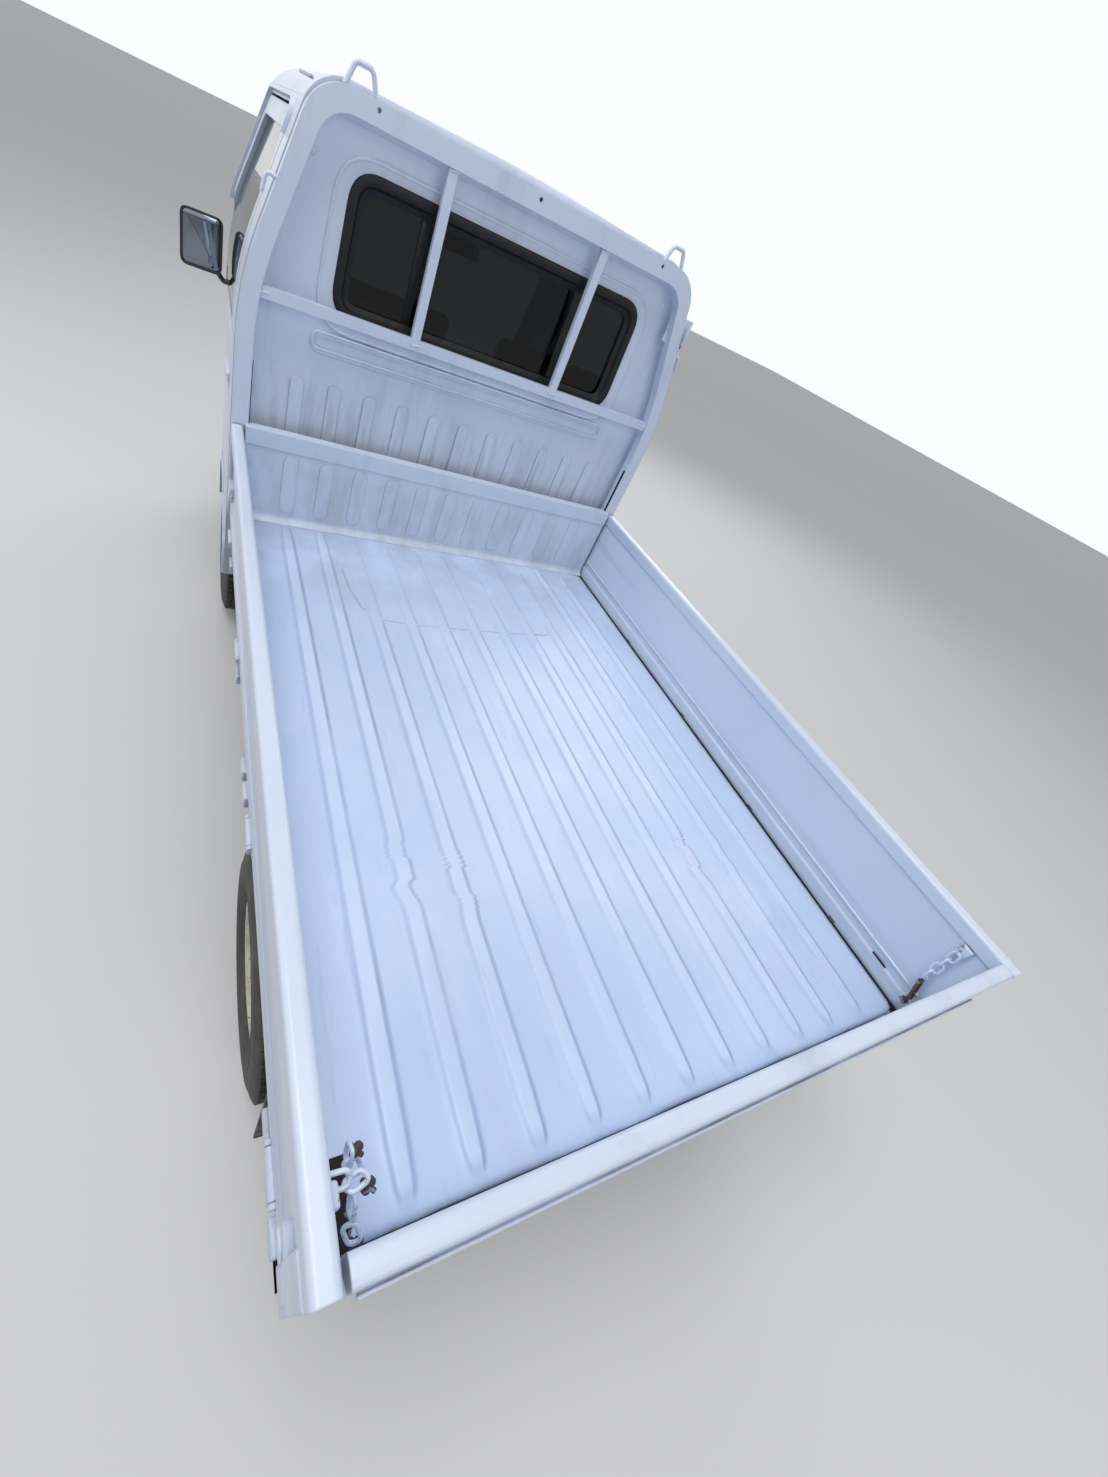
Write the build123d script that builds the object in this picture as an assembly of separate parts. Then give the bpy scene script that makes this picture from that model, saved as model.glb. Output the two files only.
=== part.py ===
from build123d import *
import os
from math import cos, radians, sin

os.makedirs("parts", exist_ok=True)

# Millimetres. The truck stands on z = 0 and faces -Y, and +X is its left side.
# A row (x, y, z) in a table names a place, (low, high) names a span.

# Overall size: cab, gap, load bed and tailgate in a row
CAB_LENGTH = 1345.0
BED_GAP = 80.0       # cab's back to the bed's inside
BED_LENGTH = 1940.0  # headboard to tailgate, inside
TAILGATE_T = 30.0
WIDTH = 1475.0
LENGTH = CAB_LENGTH + BED_GAP + BED_LENGTH + TAILGATE_T
FRONT = -LENGTH / 2
REAR = LENGTH / 2
SIDE = WIDTH / 2
CAB_BACK_Y = FRONT + CAB_LENGTH
BED_FRONT_Y = CAB_BACK_Y + BED_GAP
BED_REAR_Y = REAR - TAILGATE_T

# Running clearances
RUN = 6.0            # between a moving panel and what it closes against
SEAT = 0.3           # between round or soft pieces and their seats

# Wheels
TYRE_R = 272.0
TYRE_W = 145.0
TYRE_SHOULDER = 32.0
TYRE_WALL_BEND = 44.0    # the sidewall turns this far outside the bead seat
TYRE_TUCK = 10.0         # the tyre's outer face lies this far inside the truck's side
RIM_R = 153.0            # the bead seat
RIM_LIP_R = 166.0
RIM_W = 112.0
RIM_WALL = 5.0
DISC_IN = 22.0           # the wheel disc stands this far inside the outer lip
DISC_SWELL_R = 80.0      # the disc stands proudest here
HUB_R = 52.0
HUB_CAP = 26.0
VENT_COUNT = 10
VENT_R = 11.0
VENT_RING_R = 118.0      # the vents stand on this circle
SPINDLE_R = 20.0
DRUM_R = 118.0
DRUM_W = 44.0
AXLE_TUBE_R = 36.0
AXLE_CASE_R = 116.0
AXLE_NOSE = 150.0
WHEELBASE = 1840.0
REAR_OVERHANG = 592.5
REAR_AXLE_Y = REAR - REAR_OVERHANG
FRONT_AXLE_Y = REAR_AXLE_Y - WHEELBASE
WHEEL_X = SIDE - TYRE_TUCK - TYRE_W / 2
TRACK = 2 * WHEEL_X
BALL_X = WHEEL_X - 57.0          # lower end of the steering axis
BALL_Z = 168.0
BALL_R = 19.0
STRUT_R = 24.0
STRUT_SPLIT = 188.0              # the knuckle reaches this far up the strut
STRUT_TOP_X = BALL_X - 86.0
STRUT_TOP_Z = 668.0
ARM_R = 12.0
ARM_SPREAD = 110.0

RAIL_X = 355.0
RAIL_W = 56.0
RAIL_LOW = 392.0
SPRING_X = RAIL_X + 110.0
SPRING_W = 50.0
SPRING_Z = 330.0
SPRING_EYE_Z = 405.0
SPRING_HALF = 470.0
SPRING_T = 30.0
SHACKLE = 22.0                   # half a spring hanger's length

# Load bed
BED_Z = 655.0        # top of the floor between the beads
GATE_T = 32.5
BED_WIDTH = WIDTH - 2 * GATE_T   # gate to gate, inside
FLOOR_T = 12.0
GATE_H = 285.0       # above the floor
HEADBOARD_H = 290.0
HEADBOARD_T = 28.0
HEADBOARD_BAND = 50.0    # broad band along its top
HEADBOARD_BAND_T = 3.0
HEADBOARD_BEAD_T = 2.0
COVE_R = 22.0            # hollow between headboard and floor
RAIL_H = 36.0        # top rail of a gate
FOOT_H = 44.0        # bottom rail of a gate
PANEL_SET = 4.0      # a gate's panel lies this far inside its rails
RAIL_LIP = 8.0       # the top rail stands this far outside the panel
GATE_FOOT_Z = BED_Z - 10.0
HINGE_R = 8.0
HINGE_PIN_R = 5.0
HINGE_DROP = 14.0    # the hinge line lies this far under a gate's foot
HINGE_L = 64.0
EAR_T = 8.0
SIDE_HINGES = 4
TAIL_HINGES = 3
HINGE_END = 120.0    # the last side hinge to the end of the bed
LATCH_L = 64.0
LATCH_H = 52.0
LATCH_END = 52.0     # a latch's middle to the end of the bed
LATCH_RISE = 40.0    # a latch above the bottom rail
TAIL_HINGE_END = 225.0
BEAD_PITCH = 112.0
BEAD_COUNT = 11
BEAD_W = 46.0
BEAD_H = 5.0
BEAD_FRONT_Y = BED_FRONT_Y + 30.0
BEAD_REAR_Y = BED_REAR_Y - 28.0
BULGE_Y = REAR_AXLE_Y + 67.5     # the beads part here, over the axle
BULGE_LENGTH = 150.0
BULGE_OUT = 20.0
BULGE_RAMP = 40.0

# Cab
WALL = 35.0
CAB_FRONT_Y = FRONT + 22.0
CAB_BACK_FOOT_Z = 470.0
BELT_Z = 1295.0                  # the sides lean in above this
ROOF_Z = 1770.0
ROOF_CROWN = 16.0
SHOULDER_X = SIDE - 141.5        # where the leaning side would meet the roof
SHOULDER_R = 110.0
BELT_R = 900.0
CROWN_R = 5000.0
ROOF_SPLIT_Z = ROOF_Z - 80.0
SILL_Z = 340.0
SCREEN_FOOT = (FRONT + 48.0, 985.0)
SCREEN_HEAD = (FRONT + 397.5, ROOF_Z - 62.0)
ROOF_START = (SCREEN_HEAD[0] + 170.0, ROOF_Z)
PLAN_CORNER_R = 150.0
NOSE_TAPER = 48.0                # each side draws in by this towards the front
TAPER_START_Y = FRONT + 747.5
DOOR_FRONT_Y = FRONT + 202.5
DOOR_REAR_Y = CAB_BACK_Y - 117.5
DOOR_TOP_Z = ROOF_Z - 102.0
DOOR_FOOT_Z = 392.0
DOOR_REAR_GAP = 11.0
DOOR_NOSE_R = 8.0                # the door's front edge is round about its hinge line
ARCH_R = 325.0
ARCH_LIP = 14.0
GLASS_T = 5.0
GLASS_SET = 12.0
DOOR_FRAME = 48.0                # round the door's window
WINDOW_FOOT_Z = 1092.0
PILLAR_FOOT_Z = WINDOW_FOOT_Z - 12.0
SCREEN_HALF_FOOT = SIDE - 109.5
SCREEN_HALF_HEAD = SHOULDER_X - 36.0
SCREEN_LOW = SCREEN_FOOT[1] + 27.0
SCREEN_HIGH = ROOF_Z - 94.0
REAR_WINDOW_HALF = SHOULDER_X - 108.0
REAR_WINDOW_Z = (ROOF_Z - 475.0, ROOF_Z - 165.0)
REAR_WINDOW_R = 62.0
BACK_BEAD_W = 40.0
BACK_BEAD_H = 6.0
BACK_BEAD_Z = (BED_Z + 180.0, BED_Z + 445.0)
BACK_RING_HALF = 540.0           # long ring pressed under the rear window
BACK_RING_Z = (BED_Z + 522.0, BED_Z + 580.0)
BACK_RING_W = 14.0
BACK_RING_T = 3.0
SURROUND_W = 52.0                # raised border round the rear window
SURROUND_T = 5.0
LAMP_X = (SIDE - 307.5, SIDE - 97.5)
LAMP_Z = (640.0, 745.0)
LAMP_SWEEP = (15.0, 25.0)        # the outer top corner stands out and up by this
GRILLE_GAP = 34.0                # between the grille band and a lamp
GRILLE_SLOTS = 3
GRILLE_SLOT_H = 9.0
GRILLE_SLOT_PITCH = 22.0
GRILLE_SLOT_END = 24.0           # the slots stop this far inside the band
GRILLE_FLARE = 8.0               # the band widens by this towards its top
TRIM_T = 5.0                     # arch lips and grille stand this proud
BUMPER_Z = (262.0, 440.0)
BUMPER_T = 26.0
INTAKE_HALF = 330.0
INTAKE_Z = (BUMPER_Z[0] + 34.0, BUMPER_Z[0] + 92.0)
INTAKE_BARS = 5
INTAKE_BAR_W = 10.0
FOG_LAMP_X = SIDE - 222.0
FOG_LAMP_R = 40.0
FOG_LAMP_DEPTH = 13.0
GUTTER = (10.0, 20.0)            # the rain gutter lies between these distances outside the door
GUTTER_T = 9.0
GUTTER_LOW = BELT_Z + 45.0
HANDLE_L = 140.0
HANDLE_Z = 985.0
HANDLE_END = 46.0                # from the door's rear edge
HANDLE_OUT = 10.0
HANDLE_Z_REACH = (-10.0, 16.0)   # the lever about that height
POCKET_DEPTH = 14.0
POCKET_Z_REACH = (-42.0, 8.0)    # the hollow behind the lever
FLOOR_Z = 455.0
SHEET = 22.0
SEAT_BOX_Z = 690.0
SEAT_BOX_Y = CAB_BACK_Y - 832.5
WHEEL_HOUSE_X = WHEEL_X - 253.0
WHEEL_HOUSE_T = 20.0
SEAT_X = (70.0, SIDE - 177.5)
SEAT_H = 105.0
SEAT_BACK_Z = 1390.0
SEAT_BACK_YS = (CAB_BACK_Y - 297.5, CAB_BACK_Y - 177.5, CAB_BACK_Y - 77.5, CAB_BACK_Y - 167.5)
DASH_Z = (800.0, 900.0, SCREEN_FOOT[1])
DASH_YS = (FRONT + 117.0, FRONT + 367.5, FRONT + 387.5, FRONT + 277.5, FRONT + 137.0)
COLUMN_HUB = (-345.0, FRONT + 462.5, 1010.0)
COLUMN_LEAN = 32.0               # degrees from upright, foot forward
COLUMN_R = 30.0
WHEEL_RING_R = 178.0
WHEEL_GRIP_R = 13.0
MIRROR_X = (SIDE + 7.5, SIDE + 152.5)
MIRROR_Z = (WINDOW_FOOT_Z - 10.0, WINDOW_FOOT_Z + 172.0)
MIRROR_Y = DOOR_FRONT_Y + 85.0
MIRROR_FOOT = 28.0

# Guard frame over the headboard
HOOP_Y = BED_FRONT_Y - 20.0      # its face towards the bed
HOOP_DEPTH = 36.0
HOOP_FACE = 46.0
HOOP_TOP = ROOF_Z - 24.0
CROSS_BAR_Z = BED_Z + 636.0
CROSS_BAR_H = 30.0
GUARD_BAR_X = 250.0
GUARD_BAR_W = 27.0
GUARD_BAR_T = 18.0
HOOP_HOLE_R = 5.0
HOOP_HOLE_PITCH = 456.0          # along the top rail
HOOP_HOLE_Z = HOOP_TOP - 16.0
HOOK_ROD = 10.0
HOOK_DROP = 38.0                 # the post hooks hang down by this
HOOK_OUT = 30.0
POST_HOOK_Z = BED_Z + 876.0
LOOP_ROD = 12.0
LOOP_H = 42.0
LOOP_XS = (SIDE - 275.5, SIDE - 259.5, SIDE - 219.5, SIDE - 189.5)

# Chassis
CAB_LOW = FLOOR_Z - SHEET        # the cab stands on the rails here
BED_LOW = BED_Z - FLOOR_T        # and the bed's floor on its frame here
SILL_DEPTH = 70.0
SILL_W = 60.0
SILL_STEP = 20.0
BEARER_COUNT = 5
BEARER_W = 50.0
BEARER_ENDS = (BED_FRONT_Y + 40.5, BED_REAR_Y - 77.5)
REAR_PANEL_Z = 470.0
REAR_PANEL_T = 34.0
LAMP_T = 46.0
REAR_SET = 24.0                  # the chassis ends this far inside the tailgate
ENGINE_X = 230.0
ENGINE_L = 680.0
ENGINE_REAR_Y = CAB_BACK_Y - WALL - 22.5
ENGINE_Y = (ENGINE_REAR_Y - ENGINE_L, ENGINE_REAR_Y)
ENGINE_Z = (RAIL_LOW + 4.0, RAIL_LOW + 248.0)
GEARBOX_X = 120.0
GEARBOX_Y = (ENGINE_REAR_Y - 150.0, ENGINE_REAR_Y + 65.0)
GEARBOX_Z = (232.0, 462.0)
SHAFT_R = 28.0
TANK_Y = BED_FRONT_Y + 332.5
TANK_LENGTH = 520.0
TANK_Z = (345.0, BED_LOW - SILL_DEPTH + 10.0)
PIPE_X = 185.0
PIPE_R = 21.0
PIPE_Z = (430.0, 500.0)
MUFFLER_Y = BED_FRONT_Y + 512.5
MUFFLER_R = 60.0
MUFFLER_L = 420.0
SPARE_X = -440.0
SPARE_Y = REAR_AXLE_Y - SPRING_HALF - TYRE_R - 23.0
SPARE_Z = 284.0                  # where the spare wheel's disc hangs
CARRIER_W = 44.0
TOW_EYE_R = 13.0
TOW_EYE_T = 12.0
TOW_EYE_HALF = 30.0
TOW_EYE_DROP = 24.0              # the eye's middle lies this far under the rail
FLAP_T = 6.0
FLAP_Z = 245.0
HOOK_COUNT = 4
HOOK_ENDS = (BED_FRONT_Y + 152.5, BED_REAR_Y - 187.5)
HOOK_Z = BED_LOW - SILL_DEPTH - 33.0
HOOK_L = 56.0
CHAIN_LINKS = 7
LINK_R = 11.0
LINK_WIRE = 2.6
LINK_PITCH = 16.5


def box(x0, x1, y0, y1, z0, z1):
    """Block between two corners."""
    centre = ((x0 + x1) / 2, (y0 + y1) / 2, (z0 + z1) / 2)
    return Pos(*centre) * Box(abs(x1 - x0), abs(y1 - y0), abs(z1 - z0))


def across(points, radii, x0, x1):
    """Outline of (y, z) points drawn out along X."""
    rim = FilletPolyline(*[(x0, y, z) for y, z in points], radius=radii, close=True)
    return extrude(make_face(rim), amount=x1 - x0, dir=(1, 0, 0))


def along(points, radii, y0, y1):
    """Outline of (x, z) points drawn out along Y."""
    rim = FilletPolyline(*[(x, y0, z) for x, z in points], radius=radii, close=True)
    return extrude(make_face(rim), amount=y1 - y0, dir=(0, 1, 0))


def upright(points, radii, z0, z1):
    """Outline of (x, y) points drawn out along Z."""
    rim = FilletPolyline(*[(x, y, z0) for x, y in points], radius=radii, close=True)
    return extrude(make_face(rim), amount=z1 - z0, dir=(0, 0, 1))


def rod_x(radius, x0, x1, y, z):
    """Round bar along X."""
    return Pos((x0 + x1) / 2, y, z) * Rot(0, 90, 0) * Cylinder(radius, abs(x1 - x0))


def rod_y(radius, y0, y1, x, z):
    """Round bar along Y."""
    return Pos(x, (y0 + y1) / 2, z) * Rot(90, 0, 0) * Cylinder(radius, abs(y1 - y0))


def rod_between(radius, start, end):
    """Round bar between two places."""
    line = Vector(*end) - Vector(*start)
    place = Plane(origin=start, z_dir=line)
    return place * Cylinder(radius, line.length, align=(Align.CENTER, Align.CENTER, Align.MIN))


def swept(line, radius):
    """Round bar along a bent line."""
    return sweep((Plane(origin=line @ 0, z_dir=line % 0) * Circle(radius)).face(), path=line)


def other_side(shape):
    """The same piece on the truck's right."""
    return mirror(shape, Plane.YZ)


def both_sides(shape):
    """The piece and its twin, as separate solids."""
    return Compound([*solids_of(shape), *solids_of(other_side(shape))])


def solids_of(shape):
    return list(shape.solids())


def spread(count, ends):
    """Evenly spaced places from one end to the other."""
    low, high = ends
    return [low + (high - low) * number / (count - 1) for number in range(count)]


def save(shape, node):
    export_step(Compound(solids_of(shape)), f"parts/{node}.step")


# Cab body: one outer form, cut where the real panels meet
def cab_form(inset):
    """The cab's closed outer form, every side moved in by the inset."""
    half = SIDE - inset
    shoulder = SHOULDER_X - inset
    top = ROOF_Z - ROOF_CROWN - inset
    section = [
        (half, SILL_Z), (half, BELT_Z), (shoulder, top), (0, top + ROOF_CROWN),
        (-shoulder, top), (-half, BELT_Z), (-half, SILL_Z),
    ]
    section_r = [0, BELT_R, SHOULDER_R - inset, CROWN_R, SHOULDER_R - inset, BELT_R, 0]
    body = along(section, section_r, FRONT, CAB_BACK_Y - inset)

    front = CAB_FRONT_Y + inset
    screen_foot = (SCREEN_FOOT[0] + inset, SCREEN_FOOT[1])
    screen_head = (SCREEN_HEAD[0] + inset * 0.8, SCREEN_HEAD[1] - inset * 0.3)
    roof_start = (ROOF_START[0] + inset * 0.5, ROOF_START[1] - inset)
    profile = [
        (front, SILL_Z), (front - 4, 850), screen_foot, screen_head, roof_start,
        (CAB_BACK_Y - inset, ROOF_Z - inset), (CAB_BACK_Y - inset, SILL_Z),
    ]
    profile_r = [0, 150, 60, 70, 220, 24, 0]
    body &= across(profile, profile_r, -WIDTH, WIDTH)

    return body & cab_plan(inset, front - 4, 0, ROOF_Z + 50)


def cab_plan(inset, front, z0, z1):
    """The cab's outline from above, drawn up between two heights."""
    half = SIDE - inset
    nose = half - NOSE_TAPER
    corner = PLAN_CORNER_R - inset
    plan = [
        (-half, CAB_BACK_Y), (-half, TAPER_START_Y), (-nose, front),
        (nose, front), (half, TAPER_START_Y), (half, CAB_BACK_Y),
    ]
    return upright(plan, [0, CROWN_R, corner, corner, CROWN_R, 0], z0, z1)


SCREEN_LEAN = (SCREEN_HEAD[0] - SCREEN_FOOT[0]) / (SCREEN_HEAD[1] - SCREEN_FOOT[1])
DOOR_SKIN_X = SIDE - NOSE_TAPER * (TAPER_START_Y - DOOR_FRONT_Y) / (TAPER_START_Y - FRONT - 18)
DOOR_HINGE = (DOOR_SKIN_X - DOOR_NOSE_R, DOOR_FRONT_Y + RUN + DOOR_NOSE_R)


def door_nose():
    """What is cut off the door's front edge, to leave it round about the hinge line."""
    x, y = DOOR_HINGE
    top = PILLAR_FOOT_Z + 20
    corner = box(x, SIDE, DOOR_FRONT_Y, y, 0, top)
    return both_sides(corner - Pos(x, y, top / 2) * Cylinder(DOOR_NOSE_R, top))


def door_nose_seat():
    """Room for the nose at the foot of the leaning pillar."""
    low, high = PILLAR_FOOT_Z - 14, PILLAR_FOOT_Z + 60
    return both_sides(Pos(*DOOR_HINGE, (low + high) / 2) * Cylinder(DOOR_NOSE_R + RUN, high - low))


def door_prism(gap, rear_gap):
    """The door's outline from the side, shrunk by the gaps, over both sides."""
    front, rear = DOOR_FRONT_Y + gap, DOOR_REAR_Y - rear_gap
    foot, top = DOOR_FOOT_Z + gap, DOOR_TOP_Z - gap
    head_y = front + (top - PILLAR_FOOT_Z) * SCREEN_LEAN
    outline = [
        (front, foot), (front, PILLAR_FOOT_Z), (head_y, top), (rear, top), (rear, foot),
    ]
    shape = across(outline, [40, 60, 50, 50, 30], -WIDTH, WIDTH)
    return shape - rod_x(ARCH_R + ARCH_LIP + 12 + gap, -WIDTH, WIDTH, FRONT_AXLE_Y, TYRE_R)


def glass_layer():
    """The thin shell that all the cab's glass lies in."""
    return cab_form(GLASS_SET) - cab_form(GLASS_SET + GLASS_T)


def side_window():
    """The door's window opening, one frame's width inside the door."""
    front = DOOR_FRONT_Y + RUN + DOOR_FRAME * 1.3
    rear = DOOR_REAR_Y - DOOR_REAR_GAP - DOOR_FRAME
    top = DOOR_TOP_Z - RUN - DOOR_FRAME
    foot = WINDOW_FOOT_Z
    head_y = front + (top - PILLAR_FOOT_Z) * SCREEN_LEAN
    outline = [(front + (foot - PILLAR_FOOT_Z) * SCREEN_LEAN, foot), (head_y, top), (rear, top), (rear, foot)]
    return across(outline, [26, 40, 50, 40], -WIDTH, WIDTH)


def screen_window():
    outline = [
        (-SCREEN_HALF_FOOT, SCREEN_LOW), (SCREEN_HALF_FOOT, SCREEN_LOW),
        (SCREEN_HALF_HEAD, SCREEN_HIGH), (-SCREEN_HALF_HEAD, SCREEN_HIGH),
    ]
    return along(outline, [60, 60, 80, 80], FRONT, SEAT_BOX_Y)


def back_window():
    half, (low, high) = REAR_WINDOW_HALF, REAR_WINDOW_Z
    outline = [(-half, low), (half, low), (half - 14, high), (14 - half, high)]
    return along(outline, REAR_WINDOW_R, CAB_BACK_Y - WALL - 20, CAB_BACK_Y + 20)


def make_cab():
    shell = cab_form(0) - cab_form(WALL)
    shell -= box(-SIDE + WALL, SIDE - WALL, CAB_FRONT_Y + WALL, CAB_BACK_Y - WALL, 0, FLOOR_Z)
    glass = glass_layer()

    roof_zone = box(-SIDE, SIDE, FRONT, 0, ROOF_SPLIT_Z, ROOF_Z + 60)
    back_zone = box(-SIDE, SIDE, CAB_BACK_Y - WALL - 10, 0, 0, ROOF_SPLIT_Z)
    front_zone = box(-SIDE, SIDE, FRONT, DOOR_FRONT_Y - RUN, 0, SCREEN_LOW - 20)
    arch = rod_x(ARCH_R, -WIDTH, WIDTH, FRONT_AXLE_Y, TYRE_R)

    save((shell & roof_zone) - screen_window(), "cab_roof")
    below = box(-SIDE, SIDE, FRONT, 0, 0, CAB_BACK_FOOT_Z)
    back = (shell & back_zone) - back_window() - below
    back += [*beads(CAB_BACK_Y, BACK_BEAD_W, BACK_BEAD_H, BACK_BEAD_Z), back_ring(), back_surround()]
    save(back, "cab_back_panel")

    trim_skin = cab_form(-TRIM_T) - cab_form(2)
    front = (shell & front_zone) - box(-SIDE, SIDE, FRONT, 0, 0, BUMPER_Z[1])
    front += grille_band() & trim_skin
    save(front - head_lamp_pocket(0) - grille_slots(), "cab_front_panel")

    sides = shell - roof_zone - back_zone - front_zone - screen_window() - arch
    sides -= door_prism(0, 0) + door_nose_seat()
    sides -= box(-SIDE + WALL + 1, SIDE - WALL - 1, FRONT, 0, 0, SCREEN_LOW - 20)
    arch_lip = rod_x(ARCH_R + ARCH_LIP, -WIDTH, WIDTH, FRONT_AXLE_Y, TYRE_R) - arch
    sides += arch_lip & trim_skin & box(-WIDTH, WIDTH, FRONT, CAB_BACK_Y - WALL - 12, SILL_Z, BELT_Z)
    sides += gutter()
    save(sides, "cab_sides")

    left = box(SIDE / 2, SIDE, FRONT, 0, 0, ROOF_Z)
    door = (shell & door_prism(RUN, DOOR_REAR_GAP) & left) - side_window() - door_nose()
    door = with_handle(door)
    pane = glass & side_window() & door_prism(RUN, DOOR_REAR_GAP) & left
    save(door, "door_left")
    save(other_side(door), "door_right")
    save(pane, "door_glass_left")
    save(other_side(pane), "door_glass_right")

    save(glass & screen_window(), "windscreen")
    save(glass & back_window(), "rear_window")


def beads(face_y, width, rise, zs):
    """A row of upright beads standing out on both sides of a face across the truck."""
    half = width / 2
    row = []
    for number in range(BEAD_COUNT):
        x = (number - BEAD_COUNT // 2) * BEAD_PITCH
        bead = box(x - half, x + half, face_y - rise, face_y + rise, *zs)
        row.append(fillet(bead.edges().filter_by(Axis.Y), half - 1))
    return row


def back_ring():
    """Long ring bead under the rear window."""
    low, high = BACK_RING_Z
    reach = (CAB_BACK_Y - BACK_RING_T, CAB_BACK_Y + BACK_RING_T)
    ring_shape = None
    for inset in (0.0, BACK_RING_W):
        half, z0, z1 = BACK_RING_HALF - inset, low + inset, high - inset
        plate = box(-half, half, *reach, z0, z1)
        plate = fillet(plate.edges().filter_by(Axis.Y), (z1 - z0) / 2 - 0.5)
        ring_shape = plate if ring_shape is None else ring_shape - plate
    return ring_shape


def back_surround():
    """Raised border round the rear window."""
    half, (low, high) = REAR_WINDOW_HALF + SURROUND_W, REAR_WINDOW_Z
    outline = [
        (-half, low - SURROUND_W), (half, low - SURROUND_W),
        (half - 20, high + SURROUND_W * 0.8), (20 - half, high + SURROUND_W * 0.8),
    ]
    radius = REAR_WINDOW_R + SURROUND_W * 0.8
    return along(outline, radius, CAB_BACK_Y - SURROUND_T, CAB_BACK_Y + SURROUND_T) - back_window()


def grille_band():
    """Outline of the band between the head lamps, drawn through the front skin."""
    half, (low, high) = LAMP_X[0] - GRILLE_GAP, LAMP_Z
    low, high, wide = low + GRILLE_FLARE, high - GRILLE_FLARE, half + GRILLE_FLARE
    outline = [(-half, low), (half, low), (wide, high), (-wide, high)]
    return along(outline, 16, FRONT, CAB_FRONT_Y + WALL)


def grille_slots():
    """Blind air slots along the grille band."""
    half = LAMP_X[0] - GRILLE_GAP - GRILLE_SLOT_END
    middle = sum(LAMP_Z) / 2
    rise = GRILLE_SLOT_H / 2
    slots = []
    for number in range(GRILLE_SLOTS):
        z = middle + (number - (GRILLE_SLOTS - 1) / 2) * GRILLE_SLOT_PITCH
        slots.append(box(-half, half, FRONT, CAB_FRONT_Y + WALL / 2, z - rise, z + rise))
    return Compound(slots)


def gutter():
    """Rain gutter over each door and down its leaning pillar."""
    near, far = GUTTER
    strip = door_prism(-far, -far) - door_prism(-near, -near)
    strip &= box(-SIDE, SIDE, FRONT, DOOR_REAR_Y + far, GUTTER_LOW, ROOF_SPLIT_Z)
    strip -= box(-SIDE, SIDE, DOOR_REAR_Y - 70, 0, 0, DOOR_TOP_Z - 60)
    return strip & (cab_form(-GUTTER_T) - cab_form(2))


def with_handle(door):
    """The left door with a pocket and its pull lever."""
    rear = DOOR_REAR_Y - DOOR_REAR_GAP - HANDLE_END
    front = rear - HANDLE_L
    pocket = box(SIDE - POCKET_DEPTH, SIDE + 1, front, rear, *(HANDLE_Z + z for z in POCKET_Z_REACH))
    lever = box(SIDE - 6, SIDE + HANDLE_OUT, front - 4, rear + 4, *(HANDLE_Z + z for z in HANDLE_Z_REACH))
    return door - fillet(pocket.edges().filter_by(Axis.X), 12) + fillet(lever.edges(), 5)


def head_lamp_pocket(play):
    """Rounded block through the front skin at each lamp."""
    (inner, outer), (low, high) = LAMP_X, LAMP_Z
    out, up = LAMP_SWEEP
    outline = [
        (inner - play, low - play), (outer + play, low - play),
        (outer + out + play, high + up + play), (inner - play, high + play),
    ]
    return both_sides(along(outline, 26 + play, FRONT - 5, CAB_FRONT_Y + 80))


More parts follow.
